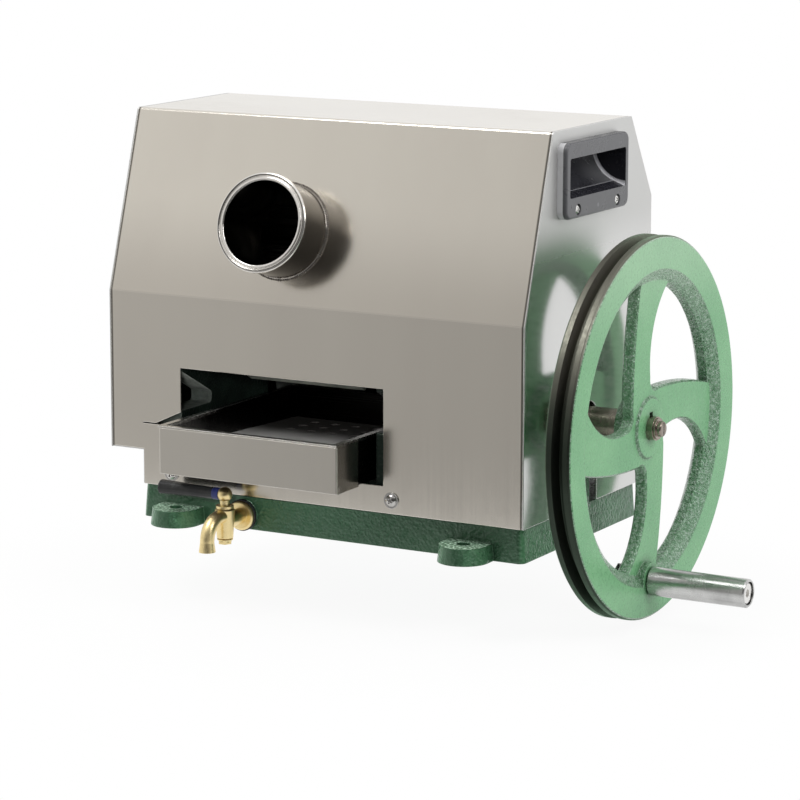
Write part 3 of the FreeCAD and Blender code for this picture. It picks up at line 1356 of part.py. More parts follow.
# ---------------------------------------------------------------- build and export
def main():
    nodes = {}
    nodes["base_casting"] = make_base_casting()
    nodes["left_side_frame"] = make_side_frame(left_inner, left_outer, left_boss_end, 1, False)
    nodes["right_side_frame"] = make_side_frame(right_inner, right_outer, right_boss_end, -1, True)
    nodes["front_tie_bar"] = make_front_tie_bar()
    nodes["rear_tie_bar"] = make_rear_tie_bar()
    nodes["tie_bar_bolts"] = make_tie_bolts()
    nodes["frame_bolts"] = make_frame_bolts()
    nodes["left_roller_bushes"] = make_roller_bushes("left")
    nodes["right_roller_bushes"] = make_roller_bushes("right")
    nodes["shaft_bushes"] = make_shaft_bushes()
    nodes["turner_plate"] = make_turner_plate()
    for name in ("top", "front", "rear"):
        nodes[name + "_roller"] = make_roller(name)
        nodes[name + "_roller_gear"] = make_roller_gear(name)
        nodes[name + "_roller_end_screws"] = make_roller_end_screws(name)
    nodes["bull_gear"] = make_bull_gear()
    nodes["drive_pinion"] = make_drive_pinion()
    nodes["drive_shaft"] = make_drive_shaft()
    nodes["hub_key"] = make_hub_key()
    nodes["hub_screw"] = make_hub_screw()
    nodes["handwheel"] = make_handwheel()
    nodes["crank_pin"] = make_crank_pin()
    nodes["crank_nut"] = make_crank_nut()
    nodes["crank_grip"] = make_crank_grip()
    nodes["hood_wrap"] = make_hood_wrap()
    nodes["hood_side_right"] = make_hood_side_right()
    nodes["hood_side_left"] = make_hood_side_left()
    nodes["hood_screws"] = make_hood_screws()
    nodes["feed_tube"] = make_feed_tube()
    nodes["bagasse_chute"] = make_bagasse_chute()
    nodes["right_carry_handle"] = make_carry_handle(hood_right, 1)
    nodes["left_carry_handle"] = make_carry_handle(hood_left, -1)
    nodes["handle_screws"] = make_handle_screws()
    nodes["juice_tray"] = make_juice_tray()
    nodes["tray_front_panel"] = make_tray_front_panel()
    nodes["strainer_plate"] = make_strainer_plate()
    nodes["tap_gasket"] = make_tap_gasket()
    nodes["tap_body"] = make_tap_body()
    nodes["tap_locknut"] = make_tap_locknut()
    nodes["tap_plug"] = make_tap_plug()
    nodes["tap_lever"] = make_tap_lever()
    nodes["tap_lever_collar"] = make_tap_lever_collar()
    nodes["tap_bottom_nut"] = make_tap_bottom_nut()
    for name, shape in nodes.items():
        print(name, "solids", len(shape.Solids), "valid", shape.isValid(), "volume", round(shape.Volume))
        shape.exportStep(os.path.join("parts", name + ".step"))


main()
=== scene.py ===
"""Hand-cranked cane juicer: finishes, fine details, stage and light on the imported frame.
Lengths are in metres, Z is up and the front of the machine looks along -Y."""

import math

import bpy
from mathutils import Matrix, Vector


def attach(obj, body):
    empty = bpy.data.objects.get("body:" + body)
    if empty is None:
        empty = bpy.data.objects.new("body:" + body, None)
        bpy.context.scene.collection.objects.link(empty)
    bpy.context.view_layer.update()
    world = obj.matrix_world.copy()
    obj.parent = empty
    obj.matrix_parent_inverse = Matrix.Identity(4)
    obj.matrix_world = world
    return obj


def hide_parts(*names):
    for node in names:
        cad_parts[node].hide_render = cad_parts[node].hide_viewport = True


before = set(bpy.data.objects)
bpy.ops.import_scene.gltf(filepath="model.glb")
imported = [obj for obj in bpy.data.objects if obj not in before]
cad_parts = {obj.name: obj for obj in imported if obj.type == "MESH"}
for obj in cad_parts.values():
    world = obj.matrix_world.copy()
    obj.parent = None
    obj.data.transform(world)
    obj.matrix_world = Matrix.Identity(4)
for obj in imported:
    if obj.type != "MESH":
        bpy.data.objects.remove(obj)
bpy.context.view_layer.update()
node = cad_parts
MM = 0.001

# ---------------------------------------------------------------- places on the machine
wheel_axis_height = 96.3 * MM
wheel_back, wheel_face = 221.4 * MM, 242.9 * MM
wheel_paint_edge = 141.0 * MM          # radius outside which the rim is left turned
wheel_rim_shade = 15.0 * MM, 105.0 * MM      # above the axis: painted shade on the turned rim below, none above
wheel_top_light = 60.0 * MM, 150.0 * MM     # above the axis: where painted light on the upper wheel starts and is full
lean = math.atan2(45.0, 145.0)         # of the hood's upper front sheet
tube_axis = Vector((0.0, -math.cos(lean), math.sin(lean)))
tube_base = Vector((-39.5, -94.53, 244.3)) * MM
tube_bore = 36.9 * MM
tube_mouth = 35.0 * MM                 # from the sheet to the rolled beads
tube_seam = 38.4 * MM                  # radius of the groove between the two beads
collar_radius = 39.2 * MM
hood_side_y = 112.0 * MM               # outside of the hood's front and back sheets
hood_screw_x = (-137.7 * MM, 67.7 * MM)
hood_screw_z = 40.6 * MM
handle_seats = ((190.2 * MM, 1), (-202.5 * MM, -1))   # X of the screws' seats, and the way out
handle_screw_y = (-39.6 * MM, 30.4 * MM)
handle_screw_z = 270.8 * MM
handle_faces = 184.2 * MM, -196.5 * MM                 # of the side sheets behind them
handle_middle_y, handle_front = -4.6 * MM, 8.0 * MM    # middle, and how far out its face begins
handle_pale_band = 4.6 * MM, 5.2 * MM                       # how far out the pale band, a painted highlight, ends
cup_centre_x, cup_centre_z = 192.6 * MM, 311.4 * MM    # of the right cup's quarter round
cup_radius, cup_end_y, cup_lip = 29.0 * MM, 45.0 * MM, 10.0 * MM
cup_height, cup_half_length, cup_lip_drop = 31.5 * MM, 49.8 * MM, 25.0 * MM
hood_middle_x, hood_edge_x = -6.15 * MM, 190.35 * MM   # middle of the hood and half its width
hood_crease_z, slope_shade_height = 188.0 * MM, 85.0 * MM
hood_fold = 1.4 * MM                   # width of the fold at the ends of the wrap, painted bright as a highlight
hood_joint = 2.4 * MM, 3.6 * MM        # where the dark joint beside it starts to fade, and ends
side_brushed_z = 215.0 * MM, 262.0 * MM                # bright below, brushed above
tray_rim_z, tray_pan_z = (85.8 * MM, 87.2 * MM), 60.0 * MM
tray_shade_y, tray_mill_y = (-115.0 * MM, -85.0 * MM), (-88.0 * MM, -60.0 * MM)
tray_right_x = 0.0, 30.0 * MM          # the painted shade deepens towards the right wall
strainer_shade_y = -55.0 * MM, 12.0 * MM
throat_shade_z = 101.0 * MM, 108.0 * MM  # the notch in the left side frame has painted shade below these
floor_low = -4.0, -0.42, -82.0 * MM    # the floor's top is just under the wheel
floor_high = 4.0, 6.0, -62.0 * MM
shadow_reach = 0.28, 0.44              # distances over which the floor's shadows fade to white


# ---------------------------------------------------------------- node helpers
def put(tree, kind, sockets=None, **settings):
    """Adds a node; sockets gives values or the outputs to link to its inputs."""
    made = tree.nodes.new(kind)
    for name, value in settings.items():
        setattr(made, name, value)
    for name, value in (sockets or {}).items():
        if isinstance(value, bpy.types.NodeSocket):
            tree.links.new(value, made.inputs[name])
        else:
            made.inputs[name].default_value = value
    return made


def calc(tree, operation, first, second=None):
    """One Math node, giving its output."""
    values = {0: first} if second is None else {0: first, 1: second}
    return put(tree, "ShaderNodeMath", values, operation=operation).outputs[0]


def times(tree, first, *factors):
    """The product of all the factors."""
    for factor in factors:
        first = calc(tree, "MULTIPLY", first, factor)
    return first


def plus(tree, first, second):
    return calc(tree, "ADD", first, second)


def minus(tree, first, second):
    return calc(tree, "SUBTRACT", first, second)


def is_over(tree, value, limit):
    """1 where the value is over the limit, 0 elsewhere."""
    return calc(tree, "GREATER_THAN", value, limit)


def is_under(tree, value, limit):
    return calc(tree, "LESS_THAN", value, limit)


def most(tree, first, *others):
    """The largest of the values."""
    for other in others:
        first = calc(tree, "MAXIMUM", first, other)
    return first


def absolute(tree, value):
    return calc(tree, "ABSOLUTE", value)


def slant(tree, first, second):
    """Length of the slanting side of a right triangle with these two sides."""
    return calc(tree, "SQRT", plus(tree, times(tree, first, first), times(tree, second, second)))


def xyz(tree, vector):
    """The parts of a vector, under X, Y and Z."""
    return put(tree, "ShaderNodeSeparateXYZ", {0: vector}).outputs


def looks(tree, kind="Normal"):
    """Where the surface looks, in X, Y and Z; True Normal leaves out shading and bumps."""
    return xyz(tree, put(tree, "ShaderNodeNewGeometry").outputs[kind])


def aim(tree, operation, first, second=None, **more):
    """One Vector Math node, giving the node's outputs."""
    values = {i: v for i, v in enumerate((first, second)) if v is not None}
    values.update(more)
    return put(tree, "ShaderNodeVectorMath", values, operation=operation).outputs


def spread(tree, value, from_low, from_high, to_low, to_high, smooth=False):
    """Maps a value from one range to another, held at the ends."""
    return put(tree, "ShaderNodeMapRange",
               {"Value": value, "From Min": from_low, "From Max": from_high,
                "To Min": to_low, "To Max": to_high},
               interpolation_type="SMOOTHSTEP" if smooth else "LINEAR").outputs["Result"]


def blend_colours(tree, share, first, second, way="MIX"):
    mixed = put(tree, "ShaderNodeMix", data_type="RGBA", blend_type=way)
    for index, value in ((0, share), (6, first), (7, second)):
        if isinstance(value, bpy.types.NodeSocket):
            tree.links.new(value, mixed.inputs[index])
        else:
            mixed.inputs[index].default_value = value
    return mixed.outputs[2]


def noise(tree, vector, scale, detail=3.0, roughness=0.5, distortion=0.0):
    return put(tree, "ShaderNodeTexNoise",
               {"Vector": vector, "Scale": scale, "Detail": detail, "Roughness": roughness,
                "Distortion": distortion}).outputs["Fac"]


def new_group(name, inputs, outputs, kind="ShaderNodeTree"):
    """An empty node group with named inputs (label, kind, default) and outputs (label, kind)."""
    tree = bpy.data.node_groups.new(name, kind)
    for label, of_kind, default in inputs:
        made = tree.interface.new_socket(label, in_out="INPUT", socket_type="NodeSocket" + of_kind)
        if default is not None:
            made.default_value = default
    for label, of_kind in outputs:
        tree.interface.new_socket(label, in_out="OUTPUT", socket_type="NodeSocket" + of_kind)
    return tree, tree.nodes.new("NodeGroupInput").outputs, tree.nodes.new("NodeGroupOutput").inputs


def use_group(tree, group, **inputs):
    made = tree.nodes.new("ShaderNodeGroup")
    made.node_tree = group
    for label, value in inputs.items():
        label = label.replace("_", " ").capitalize()
        if isinstance(value, bpy.types.NodeSocket):
            tree.links.new(value, made.inputs[label])
        else:
            made.inputs[label].default_value = value
    return made.outputs


# ---------------------------------------------------------------- effects shared by finishes
def make_mottle_group():
    """Slow cloudy variation, from low to high."""
    tree, given, result = new_group(
        "cloudy mottle",
        [("Vector", "Vector", None), ("Size", "Float", 8.0), ("Low", "Float", 0.0),
         ("High", "Float", 1.0)],
        [("Value", "Float")])
    cloud = noise(tree, given["Vector"], given["Size"], 4.0, 0.55)
    tree.links.new(spread(tree, cloud, 0.34, 0.66, given["Low"], given["High"]), result["Value"])
    return tree


def make_grain_group():
    """Fine drawn lines left by rolling or turning; the vector is already stretched."""
    tree, given, result = new_group(
        "drawn grain",
        [("Vector", "Vector", None), ("Size", "Float", 60.0)],
        [("Lines", "Float"), ("Height", "Float")])
    fine = noise(tree, given["Vector"], given["Size"], 5.0, 0.6)
    coarse = noise(tree, given["Vector"], times(tree, given["Size"], 0.23), 3.0, 0.5)
    both = plus(tree, times(tree, fine, 0.65), times(tree, coarse, 0.35))
    tree.links.new(spread(tree, both, 0.35, 0.65, 0.0, 1.0), result["Lines"])
    tree.links.new(both, result["Height"])
    return tree


def make_cast_group():
    """The pebbled skin of a sand casting under paint."""
    tree, given, result = new_group(
        "sand cast skin",
        [("Vector", "Vector", None), ("Grain", "Float", 700.0)],
        [("Height", "Float"), ("Pits", "Float")])
    cells = put(tree, "ShaderNodeTexVoronoi",
                {"Vector": given["Vector"], "Scale": given["Grain"], "Smoothness": 0.6,
                 "Randomness": 1.0}, feature="SMOOTH_F1").outputs["Distance"]
    lumps = noise(tree, given["Vector"], times(tree, given["Grain"], 0.4), 4.0, 0.6)
    waves = noise(tree, given["Vector"], times(tree, given["Grain"], 0.05), 2.0, 0.5)
    raised = plus(tree, times(tree, cells, 0.5), times(tree, lumps, 0.8))
    tree.links.new(plus(tree, raised, times(tree, waves, 1.5)), result["Height"])
    tree.links.new(spread(tree, lumps, 0.36, 0.50, 1.0, 0.0, True), result["Pits"])
    return tree


def make_edge_group():
    """A mask on outer edges, broken up by noise, and the edge-rounded normal."""
    tree, given, result = new_group(
        "rubbed edges",
        [("Vector", "Vector", None), ("Radius", "Float", 0.0008), ("Size", "Float", 120.0)],
        [("Mask", "Float"), ("Normal", "Vector")])
    rounded = put(tree, "ShaderNodeBevel", {"Radius": given["Radius"]}, samples=6).outputs["Normal"]
    flat = put(tree, "ShaderNodeNewGeometry").outputs["Normal"]
    agreement = aim(tree, "DOT_PRODUCT", rounded, flat)["Value"]
    turned = spread(tree, agreement, 0.90, 0.995, 1.0, 0.0)
    broken = spread(tree, noise(tree, given["Vector"], given["Size"], 4.0, 0.6), 0.4, 0.6, 0.0, 1.0)
    tree.links.new(times(tree, turned, broken), result["Mask"])
    tree.links.new(rounded, result["Normal"])
    return tree


def make_smudge_group():
    """Patches where hands and cloths have dulled the surface."""
    tree, given, result = new_group(
        "handled smudges",
        [("Vector", "Vector", None), ("Size", "Float", 14.0)],
        [("Mask", "Float")])
    patch = noise(tree, given["Vector"], given["Size"], 3.0, 0.5, 0.6)
    streak = noise(tree, given["Vector"], times(tree, given["Size"], 7.0), 2.0, 0.5, 1.5)
    both = times(tree, spread(tree, patch, 0.48, 0.66, 0.0, 1.0, True),
                 spread(tree, streak, 0.35, 0.6, 0.3, 1.0))
    tree.links.new(both, result["Mask"])
    return tree


def make_dust_group():
    """Dust lying on faces that look up."""
    tree, given, result = new_group(
        "settled dust",
        [("Vector", "Vector", None), ("Amount", "Float", 0.3)],
        [("Mask", "Float")])
    upward = spread(tree, looks(tree)["Z"], 0.3, 0.95, 0.0, 1.0)
    uneven = spread(tree, noise(tree, given["Vector"], 60.0, 5.0, 0.65), 0.35, 0.7, 0.2, 1.0)
    tree.links.new(times(tree, upward, uneven, given["Amount"]), result["Mask"])
    return tree


def make_hollow_group():
    """How closed in a spot is, for painted shade in corners."""
    tree, given, result = new_group(
        "closed in corners", [("Reach", "Float", 0.01)], [("Mask", "Float")])
    free = put(tree, "ShaderNodeAmbientOcclusion", {"Distance": given["Reach"]}, samples=6)
    tree.links.new(spread(tree, free.outputs["AO"], 0.45, 0.97, 1.0, 0.0), result["Mask"])
    return tree


mottle = make_mottle_group()
grain = make_grain_group()
hollows = make_hollow_group()
cast_skin = make_cast_group()
rubbed_edges = make_edge_group()
smudges = make_smudge_group()
dust = make_dust_group()


# ---------------------------------------------------------------- kinds of finish
def start_finish(name, **fixed):
    """A material with its Principled shader, and the piece's own coordinates."""
    finish = bpy.data.materials.new(name)
    finish.use_nodes = True
    tree = finish.node_tree
    shader = tree.nodes["Principled BSDF"]
    for label, value in fixed.items():
        shader.inputs[label.replace("_", " ")].default_value = value
    place = put(tree, "ShaderNodeTexCoord").outputs["Object"]
    return finish, tree, shader, place


def stretched(tree, place, stretch):
    return put(tree, "ShaderNodeMapping", {"Vector": place, "Scale": stretch}).outputs["Vector"]


def bump(tree, height, strength, distance, normal):
    return put(tree, "ShaderNodeBump", {"Height": height, "Strength": strength,
                                        "Distance": distance, "Normal": normal}).outputs["Normal"]


def feed(tree, shader, **values):
    for label, value in values.items():
        tree.links.new(value, shader.inputs[label.replace("_", " ")])


def brightened(colour, factor, lift=0.0):
    return tuple(min(1.0, factor * c + lift) for c in colour[:3]) + (1,)


def sheet_steel(name, pale, deep, stretch, smooth, dull, metal=1.0, shade=None, matt=None):
    """Rolled stainless sheet: near mirror, with wide soft bands and fine lines along one way.

    smooth and dull are the ends of its roughness; shade, when given, makes a mask and the
    colour that it brings in, painted shade or a painted highlight; matt, what is added to the
    roughness."""
    finish, tree, shader, place = start_finish(name, Metallic=metal)
    drawn = stretched(tree, place, stretch)
    lines = use_group(tree, grain, vector=drawn, size=900.0)
    bands = use_group(tree, mottle, vector=drawn, size=9.0)["Value"]
    marks = use_group(tree, smudges, vector=place, size=9.0)["Mask"]
    worn = use_group(tree, rubbed_edges, vector=place, radius=0.8 * MM, size=150.0)
    tone = plus(tree, times(tree, bands, 0.75), times(tree, lines["Lines"], 0.25))
    colour = blend_colours(tree, tone, deep, pale)
    colour = blend_colours(tree, times(tree, worn["Mask"], 0.5), colour, (0.82, 0.81, 0.79, 1))
    if shade:
        # painted shade and painted highlights from the shade function
        mask, dark = shade(tree, place)
        colour = blend_colours(tree, mask, colour, dark)
    rough = plus(tree, spread(tree, lines["Lines"], 0.0, 1.0, smooth, dull),
                 times(tree, marks, 0.03))
    if matt:
        rough = plus(tree, rough, matt(tree, place))
    normal = bump(tree, lines["Height"], 0.03, 0.01 * MM, worn["Normal"])
    feed(tree, shader, Base_Color=colour, Roughness=rough, Normal=normal)
    return finish


def cast_paint(name, light, dark, skin_grain, depth, rough, dust_amount, shine,
               smooth_faces=False, front_shade=0.0, painted_glints=0.0):
    """Hammered enamel over a sand casting, smooth where the casting was faced off along X.

    front_shade paints shade on the face that looks along -Y. painted_glints sets painted glints:
    bright specks on faces that look up, or on the rough walls of a casting with smooth faces."""
    finish, tree, shader, place = start_finish(
        name, Specular_IOR_Level=0.6, Specular_Tint=(0.6, 1.0, 0.68, 1), Coat_Roughness=0.10,
        Coat_IOR=1.8)
    skin = use_group(tree, cast_skin, vector=place, grain=skin_grain)
    cloud = use_group(tree, mottle, vector=place, size=16.0)["Value"]
    fine = use_group(tree, mottle, vector=place, size=skin_grain * 0.5)["Value"]
    worn = use_group(tree, rubbed_edges, vector=place, radius=1.2 * MM, size=260.0)
    fallen = use_group(tree, dust, vector=place, amount=dust_amount)["Mask"]
    corner_shade = use_group(tree, hollows, reach=9.0 * MM)["Mask"]
    pits, height = times(tree, skin["Pits"], 0.5), skin["Height"]
    coat = spread(tree, skin["Pits"], 0.0, 1.0, shine, shine * 0.3)
    fine_share = 0.15 if smooth_faces else 0.38
    share = plus(tree, times(tree, cloud, 1.0 - fine_share), times(tree, fine, fine_share))
    colour = blend_colours(tree, share, dark, light)
    if smooth_faces:
        raw = spread(tree, absolute(tree, looks(tree, "True Normal")["X"]), 0.93, 0.99, 1.0, 0.05)
        pits, height, coat = times(tree, pits, raw), times(tree, height, raw), times(tree, coat, raw)
        # painted shade: the rough walls are darker than the faced-off faces
        colour = blend_colours(tree, times(tree, raw, 0.85), colour, brightened(dark, 0.5))
    if front_shade:
        # painted shade on the face that looks along -Y
        front = spread(tree, looks(tree, "True Normal")["Y"], -0.98, -0.80, front_shade, 0.0)
        colour = blend_colours(tree, front, colour, brightened(dark, 0.3))
    colour = blend_colours(tree, pits, colour, brightened(dark, 0.45))
    # painted shade in closed-in corners
    colour = blend_colours(tree, times(tree, corner_shade, 0.8), colour, brightened(dark, 0.25))
    colour = blend_colours(tree, times(tree, worn["Mask"], 0.5), colour,
                           brightened(light, 1.45, 0.03))
    colour = blend_colours(tree, fallen, colour, (0.55, 0.6, 0.52, 1))
    # painted glints: bright specks standing in for highlights on the enamel
    if painted_glints:
        where = raw if smooth_faces else spread(tree, looks(tree)["Z"], 0.2, 0.7, 0.0, 1.0)
        glints = spread(tree, noise(tree, place, 450.0, 3.0, 0.6), 0.50, 0.58, 0.0, painted_glints)
        colour = blend_colours(tree, times(tree, glints, where), colour,
                               brightened(light, 2.0, 0.50))
    gloss = plus(tree, spread(tree, fine, 0.0, 1.0, rough - 0.08, rough + 0.08),
                 times(tree, fallen, 0.5))
    normal = bump(tree, height, 1.0, depth, worn["Normal"])
    feed(tree, shader, Base_Color=colour, Roughness=gloss, Normal=normal, Coat_Normal=normal,
         Coat_Weight=coat)
    return finish, tree, shader, place, colour, gloss, coat


def turned_metal(name, pale, deep, stretch, smooth, dull, ring_depth=0.05, fine=120.0):
    """Metal from the lathe or mill, with tool lines across its axis."""
    finish, tree, shader, place = start_finish(name, Metallic=1.0)
    lines = use_group(tree, grain, vector=stretched(tree, place, stretch), size=fine)
    cloud = use_group(tree, mottle, vector=place, size=45.0)["Value"]
    worn = use_group(tree, rubbed_edges, vector=place, radius=0.5 * MM, size=300.0)
    marks = use_group(tree, smudges, vector=place, size=60.0)["Mask"]
    tone = plus(tree, times(tree, cloud, 0.4), times(tree, lines["Lines"], 0.6))
    colour = blend_colours(tree, tone, deep, pale)
    colour = blend_colours(tree, times(tree, worn["Mask"], 0.5), colour, brightened(pale, 1.25))
    rough = plus(tree, spread(tree, lines["Lines"], 0.0, 1.0, smooth, dull),
                 times(tree, marks, 0.10))
    normal = bump(tree, lines["Height"], ring_depth, 0.2 * MM, worn["Normal"])
    feed(tree, shader, Base_Color=colour, Roughness=rough, Normal=normal)
    return finish


def moulded(name, light, dark, rough, texture, depth, specular=0.45):
    """Moulded plastic or rubber with a fine texture."""
    finish, tree, shader, place = start_finish(name, Specular_IOR_Level=specular)
    skin = use_group(tree, cast_skin, vector=place, grain=texture)
    cloud = use_group(tree, mottle, vector=place, size=50.0)["Value"]
    marks = use_group(tree, smudges, vector=place, size=70.0)["Mask"]
    worn = use_group(tree, rubbed_edges, vector=place, radius=0.6 * MM, size=300.0)
    colour = blend_colours(tree, cloud, dark, light)
    colour = blend_colours(tree, times(tree, worn["Mask"], 0.3), colour,
                           brightened(light, 1.6, 0.02))
    gloss = plus(tree, spread(tree, cloud, 0.0, 1.0, rough - 0.05, rough + 0.05),
                 times(tree, marks, -0.12))
    feed(tree, shader, Base_Color=colour, Roughness=gloss,
         Normal=bump(tree, skin["Height"], 0.25, depth, worn["Normal"]))
    return finish, tree, shader, place, colour, gloss


# ---------------------------------------------------------------- finishes of single pieces
def make_wheel_paint():
    """Green enamel made paler towards the top as painted light; the belt rim is left turned, with
    painted shade on it lower down.
    """
    finish, tree, shader, place, colour, gloss, coat = cast_paint(
        "green_wheel_enamel", (0.190, 0.450, 0.218, 1), (0.130, 0.358, 0.165, 1),
        skin_grain=560.0, depth=2.0 * MM, rough=0.30, dust_amount=0.05, shine=0.7,
        smooth_faces=True, painted_glints=0.2)
    at = xyz(tree, place)
    high = minus(tree, at["Z"], wheel_axis_height)
    radius = slant(tree, at["Y"], high)
    rim = times(tree, is_over(tree, radius, wheel_paint_edge),
                is_over(tree, at["X"], wheel_back + 0.3 * MM),
                is_under(tree, at["X"], wheel_face - 0.7 * MM))
    rings = put(tree, "ShaderNodeCombineXYZ", {"X": at["X"], "Y": radius}).outputs[0]
    lines = use_group(tree, grain, vector=rings, size=1500.0)["Lines"]
    # painted shade: the turned rim is darkened lower down, where its groove shades itself
    rim_shade_noise = use_group(tree, mottle, vector=place, size=30.0)["Value"]
    rim_unshaded = spread(tree, plus(tree, high, times(tree, rim_shade_noise, 12.0 * MM)), *wheel_rim_shade, 0.0, 1.0, True)
    metal = blend_colours(tree, times(tree, lines, 0.5), (0.155, 0.142, 0.122, 1),
                          (0.105, 0.094, 0.080, 1))
    metal = blend_colours(tree, rim_unshaded, (0.022, 0.024, 0.020, 1), metal)
    # painted light: the upper wheel is made paler
    painted_top_light = spread(tree, high, *wheel_top_light, 0.0, 0.30, True)
    colour = blend_colours(tree, painted_top_light, colour, (0.60, 0.78, 0.60, 1))
    normal = put(tree, "ShaderNodeMix", {0: rim}, data_type="VECTOR")
    tree.links.new(shader.inputs["Normal"].links[0].from_socket, normal.inputs[4])
    tree.links.new(put(tree, "ShaderNodeNewGeometry").outputs["Normal"], normal.inputs[5])
    feed(tree, shader, Base_Color=blend_colours(tree, rim, colour, metal),
         Metallic=times(tree, rim, 0.6), Normal=normal.outputs[1],
         Coat_Weight=times(tree, coat, minus(tree, 1.0, rim)),
         Roughness=plus(tree, gloss, times(tree, rim, 0.08)))
    return finish


def make_throat_paint(name, edge_light, edge_dark):
    """The side frames' enamel: pale upper edges, partly wear and partly painted light, with painted
    shade on the flats and lower edges.
    """
    finish, tree, shader, place, colour, _, _ = cast_paint(
        name, edge_light, edge_dark, skin_grain=430.0, depth=0.9 * MM, rough=0.40,
        dust_amount=0.05, shine=0.1)
    shader.inputs["Specular IOR Level"].default_value = 0.12
    flat = spread(tree, absolute(tree, looks(tree, "True Normal")["X"]), 0.4, 0.8, 0.0, 1.0)
    low = spread(tree, xyz(tree, place)["Z"], *throat_shade_z, 0.85, 0.0)
    shade_tone = blend_colours(tree, use_group(tree, mottle, vector=place, size=30.0)["Value"],
                           (0.004, 0.006, 0.005, 1), (0.008, 0.013, 0.010, 1))
    # painted shade on the flats and below the notch
    feed(tree, shader, Base_Color=blend_colours(tree, most(tree, flat, low), colour, shade_tone))
    return finish


def bore_shade(tree, place):
    """Painted shade inside the feed tube below its mouth, pale beads round it as a painted highlight,
    and painted shade in the groove between them.
    """
    away = aim(tree, "SUBTRACT", place, tuple(tube_base))["Vector"]
    along = aim(tree, "DOT_PRODUCT", away, tuple(tube_axis))["Value"]
    on_axis = aim(tree, "SCALE", tuple(tube_axis), Scale=along)["Vector"]
    radius = aim(tree, "LENGTH", aim(tree, "SUBTRACT", away, on_axis)["Vector"])["Value"]
    deep = is_under(tree, along, tube_mouth)
    beads = minus(tree, 1.0, deep)
    # the beads are painted pale as a highlight, the bore dark as painted shade
    tone = blend_colours(tree, deep, (0.74, 0.715, 0.68, 1), (0.085, 0.080, 0.074, 1))
    # painted shade in the groove between the two beads
    seam = spread(tree, absolute(tree, minus(tree, radius, tube_seam)),
                  0.3 * MM, 0.7 * MM, 0.85, 0.0)
    tone = blend_colours(tree, times(tree, seam, beads), tone, (0.05, 0.046, 0.04, 1))
    bore_shade_mask = times(tree, is_under(tree, radius, tube_bore), deep, 0.93)
    return most(tree, bore_shade_mask, beads), tone


def hood_shade(tree, place):
    """Painted shade darkens the sheet towards the crease; a dark joint and a painted highlight along
    the fold run up its ends.
    """
    at = xyz(tree, place)
    up_slope = minus(tree, at["Z"], hood_crease_z)
    # painted shade on the slope towards the crease
    low = times(tree, spread(tree, up_slope, 0.0, slope_shade_height, 0.42, 0.0, True),
                is_over(tree, up_slope, 0.0))
    from_end = minus(tree, hood_edge_x, absolute(tree, minus(tree, at["X"], hood_middle_x)))
    joint = times(tree, spread(tree, from_end, *hood_joint, 0.85, 0.0, True),
                  is_over(tree, from_end, hood_fold))
    # painted highlight along the fold
    fold = is_under(tree, from_end, hood_fold)
    tone = blend_colours(tree, joint, (0.30, 0.275, 0.24, 1), (0.035, 0.03, 0.025, 1))
    tone = blend_colours(tree, fold, tone, (0.95, 0.93, 0.88, 1))
    return most(tree, low, joint, fold), tone


def upper_side_matt(tree, place):
    """The side sheets are brushed round the handles and bright lower down."""
    return spread(tree, xyz(tree, place)["Z"], *side_brushed_z, 0.0, 0.42, True)


def strainer_shade(tree, place):
    """Painted shade on the strainer: none at the front, deepening towards the rollers, and on the walls
    of its holes.
    """
    uneven = times(tree, noise(tree, place, 30.0, 4.0), 20.0 * MM)
    # painted shade deepening towards the rollers
    painted_shade = spread(tree, plus(tree, xyz(tree, place)["Y"], uneven), *strainer_shade_y,
                     0.0, 1.0, True)
    # painted shade on the walls of the holes
    walls = spread(tree, absolute(tree, looks(tree, "True Normal")["Z"]), 0.3, 0.7, 1.0, 0.0)
    return most(tree, painted_shade, walls), (0.035, 0.033, 0.031, 1)


def inner_shade(tree, place):
    """Sheet behind the front panel, with painted shade below its rim and over all of it towards the
    rollers.
    """
    at = xyz(tree, place)
    under_rim = spread(tree, at["Z"], *tray_rim_z, 1.0, 0.0)
    inward = spread(tree, at["Y"], *tray_shade_y, 0.75, 1.0)
    right = spread(tree, at["X"], *tray_right_x, 0.0, 0.94, True)
    pan = is_under(tree, at["Z"], tray_pan_z)
    under_mill = spread(tree, at["Y"], *tray_mill_y, 0.0, 1.0, True)
    # painted shade below the rim and towards the rollers
    painted_shade = times(tree, under_rim, most(tree, inward, right, pan))
    return most(tree, painted_shade, under_mill), (0.022, 0.021, 0.020, 1)


def cup_masks(tree, at, out):
    """Masks of the handle's cup: all of it, for painted shade, its edges, for a painted highlight, and
    its scooped wall, for painted light.

    out is how far a spot stands out from the sheet behind the handle."""
    depth = minus(tree, cup_centre_x - handle_faces[0], out)
    drop = minus(tree, cup_centre_z, at["Z"])
    along = absolute(tree, minus(tree, at["Y"], handle_middle_y))
    inside = times(tree, is_over(tree, depth, 0.4 * MM), is_under(tree, drop, cup_height),
                   is_under(tree, along, cup_half_length))
    from_end = minus(tree, cup_end_y, at["Y"])
    arc = times(tree, spread(tree, from_end, 1.9 * MM, 2.3 * MM, 1.0, 0.0),
                spread(tree, slant(tree, depth, drop), cup_radius - 2.4 * MM,
                       cup_radius - 1.6 * MM, 0.0, 1.0))
    ledge = times(tree, spread(tree, absolute(tree, minus(tree, depth, cup_lip)),
                               0.25 * MM, 0.7 * MM, 1.0, 0.0),
                  is_over(tree, drop, cup_lip_drop))
    lit = times(tree, most(tree, arc, times(tree, ledge, 0.35)), inside)
    lit_scoop = times(tree, spread(tree, from_end, 2.3 * MM, 45.0 * MM, 1.0, 0.15, True),
                  is_over(tree, from_end, 2.1 * MM), is_over(tree, depth, cup_lip))
    return inside, lit, lit_scoop


